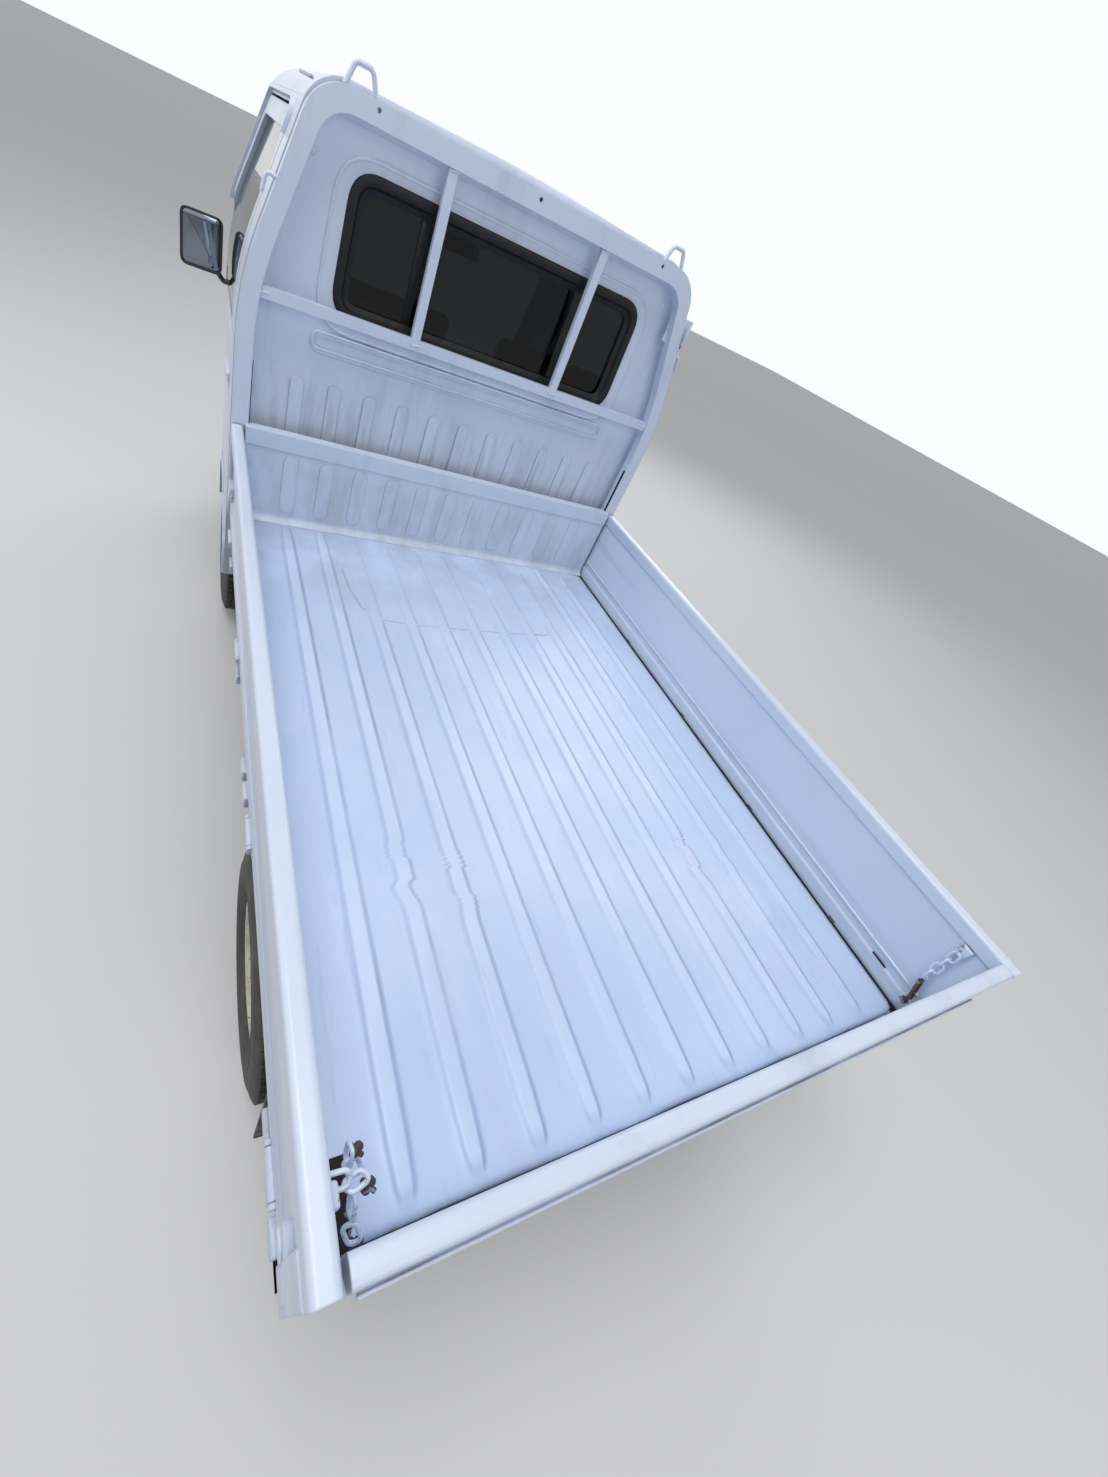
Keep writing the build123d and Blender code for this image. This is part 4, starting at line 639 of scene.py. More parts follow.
def plain_finishes(paint):
    """The finishes that need few patterns, by name."""
    rust = paint.rust
    table = {
        "chassis": plain("chassis_black", (0.028, 0.028, 0.030), 0.5, (9.0, 7, 0.65),
                         (None, 0.42, 0.75, 0.6, (0.15, 0.135, 0.12)), ((30.0, 6), 0.60, 0.70, 0.8, rust),
                         rough=(0.3, 0.7, 0.42, 0.8), relief=((120.0, 4), 0.0008, 0.4)),
        "axle": plain("axle_iron", (0.055, 0.050, 0.046), 0.65, (22.0, 8, 0.7),
                      (None, 0.42, 0.62, 1.0, rust), ((6.0, 5), 0.5, 0.75, 0.6, (0.20, 0.18, 0.16)),
                      rough=(0.3, 0.7, 0.5, 0.85), relief=(None, 0.0015, 0.5), Metallic=0.35),
        "tyre": plain("tyre_rubber", (0.026, 0.026, 0.027), 0.72, (14.0, 7, 0.7),
                      (None, 0.40, 0.72, 0.75, (0.105, 0.100, 0.092)),
                      rough=(0.3, 0.7, 0.6, 0.9), relief=((260.0, 3), 0.0005, 0.5)),
        "rubber": plain("seal_rubber", (0.005, 0.006, 0.008), 0.42, (40.0, 5),
                        (None, 0.50, 0.80, 0.35, (0.020, 0.021, 0.024)),
                        rough=(0.3, 0.7, 0.38, 0.62), relief=((400.0, 2), 0.0002, 0.4), Specular_IOR_Level=0.28),
        "vinyl": plain("seat_vinyl", (0.040, 0.041, 0.045), 0.5, (380.0, 4, 0.65),
                       ((8.0, 6), 0.45, 0.75, 0.6, (0.075, 0.073, 0.070)),
                       rough=(0.3, 0.7, 0.42, 0.62), relief=(None, 0.0006, 0.7)),
        "webbing": plain("belt_webbing", (0.05, 0.05, 0.052), 0.75, (900.0, 2, 0.55, (1, 1, 0.25)),
                         relief=(None, 0.0004, 0.6), Sheen_Weight=0.3),
        "lens": plain("lamp_lens", (0.92, 0.94, 0.95), 0.03, (8.0, 4), rough=(0.4, 0.8, 0.02, 0.08),
                      Transmission_Weight=1.0, IOR=1.42),
        "plated": plain("plated_steel", (0.62, 0.60, 0.56), 0.22, (90.0, 6, 0.7), (None, 0.52, 0.62, 1.0, rust),
                        rough=(0.4, 0.65, 0.2, 0.75), Metallic=1.0),
        "mirror": plain("mirror_glass", (0.22, 0.25, 0.30), 0.02, (12.0, 5), rough=(0.5, 0.8, 0.015, 0.06),
                        Metallic=1.0),
        "rusted": plain("rusted_clip", (0.060, 0.052, 0.040), 0.85, (120.0, 7, 0.75),
                        (None, 0.50, 0.62, 1.0, rust), ((60.0, 6), 0.58, 0.64, 0.8, (0.30, 0.34, 0.42)),
                        relief=(None, 0.0012, 0.6)),
        # painted shade: near-black stands for the dark inside of holes, slits and open seams; the brown is dirt
        "hole": plain("painted_hole_shade", (0.012, 0.011, 0.010), 0.9, (300.0, 3), (None, 0.4, 0.7, 0.5, (0.04, 0.03, 0.02))),
        "painted_chain": plain("painted_chain", (0.66, 0.73, 0.86), 0.38, (90.0, 5, 0.7),
                               (None, 0.58, 0.64, 0.8, (0.20, 0.21, 0.24)), (None, 0.68, 0.72, 1.0, rust),
                               rough=(0.3, 0.7, 0.3, 0.7), relief=(None, 0.0008, 0.5), Metallic=0.15),
        "chipped": plain("chipped_paint", paint.body, 0.45, (55.0, 6, 0.7),
                         (None, 0.60, 0.64, 1.0, (0.25, 0.22, 0.20)), (None, 0.68, 0.71, 1.0, rust),
                         rough=(0.3, 0.8, 0.3, 0.7), relief=(None, 0.0012, 0.5)),
        "dash": plain("dash_plastic", (0.055, 0.056, 0.060), 0.62, (420.0, 3, 0.6),
                      ((5.0, 4), 0.45, 0.8, 0.5, (0.10, 0.10, 0.10)),
                      rough=(0.3, 0.7, 0.52, 0.72), relief=(None, 0.0004, 0.6)),
        "black_plastic": plain("black_plastic", (0.018, 0.018, 0.020), 0.28, (60.0, 6),
                               (None, 0.5, 0.8, 0.4, (0.07, 0.07, 0.07)),
                               rough=(0.3, 0.8, 0.22, 0.5), Coat_Weight=0.2),
        "red": plain("red_lens", (0.42, 0.012, 0.012), 0.12, (30.0, 4), rough=(0.3, 0.8, 0.08, 0.2),
                     relief=((3.0, 1), 0.001, 0.2), Coat_Weight=0.6),
        "amber": plain("amber_lens", (0.72, 0.20, 0.010), 0.12, (30.0, 4), rough=(0.3, 0.8, 0.08, 0.2),
                       Coat_Weight=0.6),
        "exhaust": plain("exhaust_steel", (0.20, 0.165, 0.135), 0.6, (24.0, 8, 0.7), (None, 0.45, 0.62, 1.0, rust),
                         rough=(0.3, 0.7, 0.45, 0.85), relief=(None, 0.0012, 0.4), Metallic=0.6),
        "engine": plain("engine_cast", (0.17, 0.165, 0.155), 0.6, (7.0, 8, 0.7),
                        (None, 0.42, 0.7, 1.0, (0.035, 0.030, 0.025)),
                        rough=(0.3, 0.7, 0.35, 0.75), relief=((150.0, 5), 0.0010, 0.5), Metallic=0.5),
        "reflector": plain("lamp_reflector", (0.78, 0.79, 0.80), 0.10, (60.0, 4), rough=(0.3, 0.8, 0.06, 0.22),
                           Metallic=1.0),
        "grip": plain("wheel_grip", (0.022, 0.022, 0.024), 0.45, (50.0, 5), rough=(0.3, 0.8, 0.32, 0.6),
                      relief=((500.0, 2), 0.0003, 0.5)),
    }
    # the rear window's near-black tint is painted shade, standing for the dark cab behind the pane and dark reflections
    for name, tint in (("glass", (0.42, 0.48, 0.46)), ("dark_glass", (0.045, 0.052, 0.055))):
        table[name] = plain(f"window_{name}", tint, 0.015, (5.0, 6), rough=(0.4, 0.8, 0.01, 0.05),
                            Transmission_Weight=1.0, IOR=1.45)
    for name, tint in (("plate_yellow", (0.72, 0.55, 0.06)), ("lamp_white", (0.80, 0.82, 0.84))):
        table[name] = plain(name, tint, 0.35, (20.0, 6), (None, 0.5, 0.8, 0.5, (0.40, 0.36, 0.28)),
                            rough=(0.3, 0.8, 0.28, 0.5), Coat_Weight=0.3)
    return table


# Nodes of the frame and the finish that each shows
NODE_FINISH = {
    "body": ("headboard", "guard_hoop", "guard_bars", "rope_hooks", "bed_frame", "cab_back_panel", "cab_sides",
             "cab_roof", "cab_front_panel", "front_bumper", "gate_left", "gate_right", "tailgate",
             "door_left", "door_right"),
    "bed": ("bed_floor",),
    "chassis": ("ladder_frame", "rear_panel", "fuel_tank", "cab_floor"),
    "axle": ("rear_axle", "leaf_springs", "propeller_shaft", "front_suspension", "knuckle_left", "knuckle_right"),
    "tyre": ("tyre_front_left", "tyre_front_right", "tyre_rear_left", "tyre_rear_right", "spare_wheel"),
    "rim": ("rim_front_left", "rim_front_right", "rim_rear_left", "rim_rear_right"),
    "rubber": ("mud_flaps",),
    "glass": ("windscreen", "door_glass_left", "door_glass_right"),
    "dark_glass": ("rear_window",),
    "lens": ("headlamps",),
    "red": ("tail_lamps",),
    "plated": ("tailgate_chains",),
    "dash": ("dashboard", "seat_cushions", "seat_backs"),
    "grip": ("steering_wheel",),
    "black_plastic": ("mirror_left", "mirror_right"),
    "exhaust": ("exhaust",),
    "engine": ("engine_block",),
}
FINISHES = {}


class TRUCK_OT_finishes(bpy.types.Operator):
    """Make the finishes and put them on the frame's own parts"""
    bl_idname = "truck.finishes"
    bl_label = "Finishes"

    def execute(self, context):
        paint = context.scene.truck.paint
        FINISHES.update(plain_finishes(paint))
        FINISHES.update(body=body_paint(paint), bed=bed_paint(paint), rim=rim_enamel(paint))
        for name, nodes in NODE_FINISH.items():
            for node in nodes:
                skin = NODES[node].data
                skin.materials.clear()
                skin.materials.append(FINISHES[name])
        return {"FINISHED"}


# Load bed
BED_TOP = 0.655
BOWS = (
    # bead number from the middle, sideways shift, start and end of the full bow
    (4, 0.015, 1.085, 1.150),
    (3, -0.013, 1.125, 1.200),
    (-3, 0.022, 1.140, 1.215),
    (-4, -0.010, 1.150, 1.215),
)
BOW_RAMP = 0.055
BOW_STEPS = 5
PATCH_REAR_Y = 0.250
PATCH_HALF = 0.36
PATCH_SINK = 0.62  # share of the beads' height that is lost under the patch
PATCH_LINE = ((0.400, -0.02), (0.393, 0.09), (0.372, 0.185), (0.318, 0.243), (0.21, 0.252), (0.016, 0.249),
              (-0.15, 0.244), (-0.30, 0.232), (-0.345, 0.20), (-0.352, 0.12))
DRAINS = ((0.575, -0.106), (-0.571, -0.100))
DRAIN_RIM = ((0, 0.0062), (0.0006, 0.0060), (0.0007, 0.0045), (0.0002, 0.0040))


class TRUCK_OT_bed_floor(bpy.types.Operator):
    """Press the load floor with its beads, bows, drains and welded patch; the drains are dark pieces of painted shade.
    The painted shade on the beads' flanks and the painted highlight on their crests follow the attributes
    flank and rise: a point's lean and its height"""
    bl_idname = "truck.bed_floor"
    bl_label = "Bed floor"

    def execute(self, context):
        bed = context.scene.truck.bed
        sheet = bed_sheet(bed)
        dressed(sheet, "bed", "chassis", 50)
        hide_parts("bed_floor")
        seam = tube("patch_seam", [(x, y, BED_TOP + 0.0006) for x, y in PATCH_LINE], 0.0028, bend=0.03, sides=2)
        dressed(seam, "bed", "chassis")
        # painted shade: each drain is a dark rim over a dark disc in place of the hole
        for number, (x, y) in enumerate(DRAINS):
            rim = turned(f"drain_{number + 1}", DRAIN_RIM, (x, y, BED_TOP), steps=20)
            dressed(rim, "hole", "chassis")
        return {"FINISHED"}


def bed_sheet(bed):
    """The floor: a plane cut along every bead, with the beads raised and bowed."""
    half = bed.width / 2
    hold = bed.flank / 2
    front, rear = FLOOR_LOW.y + 0.030, FLOOR_HIGH.y - 0.022
    size = FLOOR_HIGH - FLOOR_LOW
    middle = (FLOOR_LOW + FLOOR_HIGH) / 2
    sheet = add("plane", "bed_sheet", size=1, location=(middle.x, middle.y, BED_TOP))
    sheet.scale = (size.x, size.y, 1)
    settle(sheet)
    beads = [(number - bed.count // 2) * bed.pitch for number in range(bed.count)]
    stations = [front, front + bed.flank, front + 2.4 * bed.flank, PATCH_REAR_Y, PATCH_REAR_Y + 0.03, 0.6,
                rear - 2.4 * bed.flank, rear - bed.flank, rear]
    stations += sorted({step for bow in BOWS for step, _ in bow_steps(bow)})
    with editing(sheet):
        for x in beads:
            for side in (-1, 1):
                for reach in (half + hold, half, half - bed.flank, half - bed.flank - hold):
                    cut((x + side * reach, 0, 0), (1, 0, 0))
        for y in stations:
            cut((0, y, 0), (0, 1, 0))
        raise_beads(sheet, bed, beads, front, rear)
        for bow in BOWS:
            for y, share in bow_steps(bow):
                reach = half + hold + 0.001
                pick_points(sheet, lambda at: abs(at.x - bow[0] * bed.pitch) < reach and abs(at.y - y) < TINY)
                bpy.ops.transform.translate(value=(bow[1] * share, 0, 0))
    with editing(sheet, "EDGE"):
        pick_edges(sheet, on_rim)
        bpy.ops.mesh.extrude_edges_move(TRANSFORM_OT_translate={"value": (0, 0, -0.010)})
    shaped(sheet, "SOLIDIFY", thickness=bed.sheet, offset=-1)
    shaped(sheet, "SUBSURF", levels=1, render_levels=1)
    # flank and rise steer the painted shade on the beads' flanks and the painted highlight on their crests
    flank = sheet.data.attributes.new("flank", "FLOAT", "POINT")
    rise = sheet.data.attributes.new("rise", "FLOAT", "POINT")
    for number, point in enumerate(sheet.data.vertices):
        flank.data[number].value = point.normal.x if point.co.z > BED_TOP - 0.002 else 0.0
        rise.data[number].value = (point.co.z - BED_TOP) / bed.height
    return sheet


def on_rim(one, two):
    """True where both ends lie on one side of the floor's rim."""
    return any(abs(one[axis] - corner[axis]) < TINY and abs(two[axis] - corner[axis]) < TINY
               for axis in (0, 1) for corner in (FLOOR_LOW, FLOOR_HIGH))


def bow_steps(bow):
    """Places along a bow with the share of its sideways shift, in a smooth S at each end."""
    start, end = bow[2:]
    steps = []
    for number in range(BOW_STEPS + 1):
        t = number / BOW_STEPS
        share = t * t * (3 - 2 * t)
        steps.append((round(start - BOW_RAMP * (1 - t), 4), share))
        steps.append((round(end + BOW_RAMP * (1 - t), 4), share))
    return steps


def raise_beads(sheet, bed, beads, front, rear):
    """Lift the beads' tops, lower them in the patch and round their ends."""
    half = bed.width / 2
    flat = half - bed.flank + 0.0005
    start, end = front + bed.flank - TINY, rear - bed.flank + TINY

    def on_top(at, last, side):
        place = min(max(round(at.x / bed.pitch), -(bed.count // 2)), bed.count // 2) * bed.pitch
        return abs(at.x - place) < flat and start < at.y < last and abs(at.x) < side

    pick_points(sheet, lambda at: on_top(at, end, FLOOR_HIGH.x))
    bpy.ops.transform.translate(value=(0, 0, bed.height))
    pick_points(sheet, lambda at: on_top(at, PATCH_REAR_Y + 0.001, PATCH_HALF))
    bpy.ops.transform.translate(value=(0, 0, -PATCH_SINK * bed.height))
    for x in beads:
        for y, share in ((front, 0.55), (front + bed.flank, 0.62), (rear - bed.flank, 0.62), (rear, 0.55)):
            pick_points(sheet, lambda at: abs(at.x - x) < half + TINY and abs(at.y - y) < TINY)
            bpy.ops.transform.resize(value=(share, 1, 1), center_override=(x, y, BED_TOP))


# Chains in the rear corners
CHAIN_ROD = 0.0031
LINKS = (
    # middle of a link, its long way, its flat side's normal
    ((0.660, 1.578, 0.808), (0.05, 0.45, -0.88), (0.95, 0.1, 0.1)),
    ((0.656, 1.590, 0.800), (-0.35, 0.50, -0.75), (0.1, 0.9, 0.4)),
    ((0.690, 1.606, 0.877), (-0.98, 0.05, -0.10), (0.1, 0.5, 0.85)),
    ((0.667, 1.611, 0.862), (-0.85, -0.30, -0.35), (0.0, -0.5, 0.85)),
    ((0.663, 1.627, 0.800), (0.05, 0.60, -0.78), (0.95, 0.1, 0.1)),
    ((0.660, 1.650, 0.762), (-0.30, 0.60, -0.70), (0.3, 0.7, 0.6)),
    # the right corner, from the top bracket down to the clip
    ((-0.690, 1.6195, 0.864), (0.05, 0.12, -0.99), (1.0, 0.1, 0.05)),
    ((-0.689, 1.6215, 0.840), (0.05, 0.12, -0.99), (0.2, 1.0, 0.1)),
    ((-0.688, 1.6240, 0.816), (0.05, 0.14, -0.99), (1.0, 0.1, 0.05)),
    ((-0.687, 1.6265, 0.792), (0.05, 0.14, -0.99), (0.2, 1.0, 0.1)),
)
CLIP = ((-0.689, 1.640, 0.735), 0.032, 0.0080, (0.05, 0.36, -0.93))  # middle, half length, half width, long way
RUST_EDGE = ((0.640, 1.557), (0.634, 1.570), (0.641, 1.585), (0.637, 1.604), (0.645, 1.622), (0.640, 1.640),
             (0.647, 1.652), (0.642, 1.665))
KNOBS = ((0.650, 1.617, 0.840), (0.653, 1.577, 0.818), (0.653, 1.661, 0.744), (-0.690, 1.650, 0.694))


class TRUCK_OT_chains(bpy.types.Operator):
    """Hang the tailgate's chains, clip and bolts in the rear corners, and rust through the floor's left one, its hole a
    dark sheet of painted shade
    """
    bl_idname = "truck.chains"
    bl_label = "Chains"

    def execute(self, context):
        link = chain_link()
        chains = joined([laid_link(link, *row) for row in LINKS], "gate_chains")
        bpy.data.objects.remove(link)
        dressed(chains, "painted_chain", "tailgate", 60)
        clips = joined([clip(*CLIP), *(wing_bolt(place) for place in KNOBS)], "chain_clips")
        dressed(clips, "rusted", "tailgate")
        ears = [sided("ear", sign, (0.6930, 1.606, 0.876), (0.7045, 1.632, 0.902), 0.004, 3) for _, sign in SIDES]
        dressed(joined(ears, "chain_ears"), "chipped", "tailgate")
        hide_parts("tailgate_chains")
        # painted shade: a dark sheet stands for the hole rusted through the floor; the flakes round it are rust
        holed = sheet_outline("rust_hole_shade", [*RUST_EDGE, (0.6985, 1.665), (0.6985, 1.557)], 0.002, 2)
        holed.data.transform(Matrix.Translation((0, 0, BED_TOP + 0.0006)))
        shaped(holed, "SOLIDIFY", thickness=0.0005, offset=-1)
        dressed(holed, "hole", "chassis")
        flakes = tube("rust_flakes", [(x, y, BED_TOP + 0.0008) for x, y in RUST_EDGE], 0.0022, 0.004, sides=2)
        dressed(flakes, "rusted", "chassis")
        return {"FINISHED"}


def chain_link():
    """One long oval link about the origin, long way along Z."""
    half, bend = 0.0140, 0.0085
    points = [(-bend, 0, -half), (bend, 0, -half), (bend, 0, half), (-bend, 0, half)]
    return tube("link", points, CHAIN_ROD, bend=bend * 0.95, closed=True, sides=3)


def turned_to(along, flat):
    """The turn that lays Z along one way, with Y as near as can be to another."""
    z = Vector(along).normalized()
    x = Vector(flat).cross(z).normalized()
    return Matrix((x, z.cross(x), z)).transposed().to_4x4()


def laid_link(link, place, along, flat):
    """A copy of the link at its place in the chain."""
    twin = copied(link, "link")
    twin.data.transform(Matrix.Translation(place) @ turned_to(along, flat))
    return twin


def clip(place, half_long, half_wide, along):
    """A folded rusty clip: a channel with an eye at each end."""
    parts = [block("clip", (-half_wide, -0.0015, -half_long), (half_wide, 0.0015, half_long), 0.001, 1)]
    for x in (-half_wide, half_wide):
        parts.append(block("fold", (x - 0.0012, -0.0015, -half_long), (x + 0.0012, 0.006, half_long), 0.001, 1))
        parts.append(turned("eye", ((-0.003, 0.004), (-0.003, 0.0075), (0.004, 0.0075), (0.004, 0.004)),
                            (0, 0, math.copysign(half_long - 0.008, x)), "Y", 16))
    made = joined(parts, "clip")
    made.data.transform(Matrix.Translation(place) @ turned_to(along, (0, 0.67, 0.74)))
    return made


def wing_bolt(place):
    """A wing bolt: a short stem with two ears."""
    stem = turned("stem", ((-0.009, 0.004), (-0.006, 0.006), (0.006, 0.006), (0.009, 0.004)), axis="X", steps=10)
    ears = block("wings", (-0.003, -0.011, -0.003), (0.003, 0.011, 0.003), 0.002)
    made = joined([stem, ears], "wing_bolt")
    made.data.transform(Matrix.Translation(place) @ Matrix.Rotation(0.7, 4, "Z") @ Matrix.Rotation(0.5, 4, "Y"))
    return made


# Guard frame and headboard
WELD = ((-0.014, 0), (-0.005, 0.001), (0.005, -0.001), (0.014, 0))
WELD_SPOTS = ((-0.2495, 1.291), (-0.2495, 1.697), (0.2495, 1.291), (0.2495, 1.697), (-0.676, 1.291), (0.676, 1.291))
BACK_PRESSES = (
    # name, outline, radius of its corners
    ("ring", ((-0.533, 1.189), (0.533, 1.189), (0.533, 1.233), (-0.533, 1.233)), 0.0215),
    ("border", ((-0.538, 1.245), (0.538, 1.245), (0.518, 1.641), (-0.518, 1.641)), 0.100),
)
BACK_STUDS = (("cab_back_panel", 0.586, 1.606), ("cab_roof", 0.040, 1.715), ("cab_back_panel", -0.560, 1.640))


class TRUCK_OT_guard(bpy.types.Operator):
    """Add the guard frame's welds and brackets, and the pressings and studs of the cab's back"""
    bl_idname = "truck.guard"
    bl_label = "Guard frame"

    def execute(self, context):
        face = HOOP_HIGH.y
        parts = [tube("weld", [(x + along, face - 0.004, z + lift) for along, lift in WELD], 0.0030, bend=0.01, sides=3)
                 for x, z in WELD_SPOTS]
        parts.append(block("guard_plate", (-0.668, face - 0.026, 1.556), (-0.590, face - 0.023, 1.640), 0.0015))
        parts.append(block("guard_tab", (-0.668, face - 0.026, 1.556), (-0.662, face - 0.002, 1.640), 0.0015))
        parts.append(block("guard_ear", (0.604, face - 0.030, 1.722), (0.634, face - 0.006, 1.729), 0.0015))
        dressed(joined(parts, "guard_welds"), "chipped", "chassis")
        presses = [tube(name, [(x, BACK_HIGH.y - 0.0040, z) for x, z in outline], 0.0048, bend, True, 3)
                   for name, outline, bend in BACK_PRESSES]
        dressed(joined(presses, "back_presses"), "body", "chassis")
        studs = [turned("stud", ((0, 0.009), (0.0012, 0.0085), (0.0020, 0.0060), (0.0024, 0.0030)),
                        landed(node, (x, BACK_HIGH.y + 0.02, z), (0, -1, 0)), "Y", 20) for node, x, z in BACK_STUDS]
        dressed(joined(studs, "back_studs"), "body", "chassis")
        return {"FINISHED"}


# Gates
LATCH_YS = (GATE_LOW.y + 0.085, TAIL_HIGH.y - 0.052)
LATCH_Z = 0.752
PIN = ((0, 0.011), (0.006, 0.011), (0.008, 0.009))
RIDGE_Z = 0.719
BRACKET_YS = (0.752, 0.828, 1.550, 1.613)
DRIP_YS = (0.20, 0.62, 1.03, 1.41)
SEAM_XS = (-0.52, -0.31, 0.05, 0.33)
HEM_XS = (-0.56, 0.69)


class TRUCK_OT_gates(bpy.types.Operator):
    """Add the gates' end caps, latches, ridges and slits, the tailgate's hem, sill brackets and dark gaps; the slits,
    open seams and gaps are dark pieces of painted shade
    """
    bl_idname = "truck.gates"
    bl_label = "Gates"

    def execute(self, context):
        for side, sign in SIDES:
            self.fittings(side, sign)
            self.sill(side, sign)
        # dark strips of painted shade in the gaps
        self.seals()
        # painted shade: thin dark blocks stand for the slit and the drip holes in the right gate
        slits = [block("slit", (-0.7052, 1.532, 0.694), (-0.7040, 1.575, 0.699), 0.0003, 1)]
        slits += [block("drip", (-0.7052, y, 0.6535), (-0.7040, y + 0.022, 0.6560), 0.0003, 1) for y in DRIP_YS]
        dressed(joined(slits, "gate_slit_shades"), "hole", "gate_right")
        self.hem()
        return {"FINISHED"}

    def fittings(self, side, sign):
        """The end cap with its step, two latch pins with levers, and the ridge inside one gate."""
        outer, rear = GATE_HIGH.x, TAIL_HIGH.y
        parts = [sided("end_cap", sign, (outer - 0.0125, rear - 0.050, 0.700), (outer + 0.002, rear - 0.0005, 0.902),
                       0.004, 3),
                 sided("cap_step", sign, (outer - 0.010, rear - 0.044, 0.720), (outer + 0.003, rear - 0.010, 0.780),
                       0.004, 3)]
        pin_x = min(sign * outer, sign * (outer - PIN[-1][0]))
        for y in LATCH_YS:
            parts.append(turned("latch_pin", PIN, (pin_x, y, LATCH_Z), "X", 20))
            parts.append(sided("lever", sign, (outer - 0.004, y - 0.030, LATCH_Z - 0.007),
                               (outer + 0.004, y + 0.006, LATCH_Z + 0.005), 0.003))
        face = sign * (outer - 0.0285)
        parts.append(tube("gate_ridge", [(face, GATE_LOW.y + 0.012, RIDGE_Z), (face, TAIL_LOW.y - 0.012, RIDGE_Z)],
                          0.0042, sides=3))
        dressed(joined(parts, f"gate_fittings_{side}"), "body", f"gate_{side}")

    def sill(self, side, sign):
        """The brackets under one sill, and a dark strip of painted shade in the gap between the floor and its gate."""
        brackets = [sided("bracket", sign, (0.7190, y - 0.024, 0.540), (0.7325, y + 0.024, 0.574), 0.003, 3)
                    for y in BRACKET_YS]
        dressed(joined(brackets, f"sill_brackets_{side}"), "body", "chassis")
        # painted shade: a dark strip in the rubber finish stands for the gap between floor and gate
        strip = sided(f"floor_gap_shade_{side}", sign, (0.6985, FLOOR_LOW.y + 0.01, BED_TOP - 0.010),
                      (0.7015, FLOOR_HIGH.y - 0.01, BED_TOP - 0.002), 0.0008, 1)
        dressed(strip, "rubber", "chassis")

    def seals(self):
        """Dark strips of painted shade in the gaps over the headboard, beside the guard's feet and in the floor's rear
        corners.
        """
        low, high = map(Vector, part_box("headboard"))
        # painted shade: dark strips in the rubber finish stand for the gaps
        seals = [block("headboard_gap_shade", (0.02 - high.x, BACK_HIGH.y + 0.0005, high.z - 0.050),
                       (high.x - 0.02, low.y - 0.0005, high.z - 0.022), 0.002)]
        for _, sign in SIDES:
            seals.append(sided("hoop_gap_shade", sign, (0.6880, HOOP_HIGH.y - 0.012, 0.947),
                               (0.6906, HOOP_HIGH.y - 0.002, 1.120), 0.0008, 1))
            seals.append(sided("corner_gap_shade", sign, (0.6900, FLOOR_HIGH.y - 0.020, 0.600),
                               (0.7040, FLOOR_HIGH.y + 0.004, BED_TOP - 0.003), 0.002))
        dressed(joined(seals, "gap_shade_strips"), "rubber", "chassis")

    def hem(self):
        """Dark strips of painted shade in the open seams on the tailgate's top edge, and the lip that is rolled over
        behind it.
        """
        # painted shade: dark strips stand for the open seams
        seams = [block("seam", (x - 0.05, TAIL_LOW.y - 0.0006, 0.9020), (x + 0.05, TAIL_LOW.y + 0.0004, 0.9035),
                       0.0002, 1) for x in SEAM_XS]
        dressed(joined(seams, "tailgate_seam_shades"), "hole", "tailgate")
        left, right = HEM_XS
        edge = TAIL_HIGH.y + 0.0050
        lip = block("lip", (left, TAIL_HIGH.y - 0.002, 0.9035), (right, edge, 0.9050), 0.0005, 1)
        roll = tube("roll", [(left, edge, 0.9048), (right, edge, 0.9048)], 0.0022, sides=3)
        dressed(joined([lip, roll], "tailgate_hem"), "body", "tailgate")


# Underneath
AXLE_Y = 1.105
SPRING_X = 0.465
PIPES = (
    # line, radius, bend
    (((-0.300, 1.140, 0.318), (0.300, 1.140, 0.318)), 0.004, 0.0),
    (((0.100, 1.130, 0.322), (0.150, 1.050, 0.400), (0.240, 0.960, 0.480), (0.310, 0.900, 0.500)), 0.006, 0.05),
    (((0.318, 0.900, 0.500), (0.318, 0.300, 0.480), (0.318, -0.600, 0.420), (0.318, -1.100, 0.420)), 0.004, 0.05),
)
FILLER_CAP = ((0, 0.030), (0.014, 0.030), (0.020, 0.026), (0.022, 0.018))


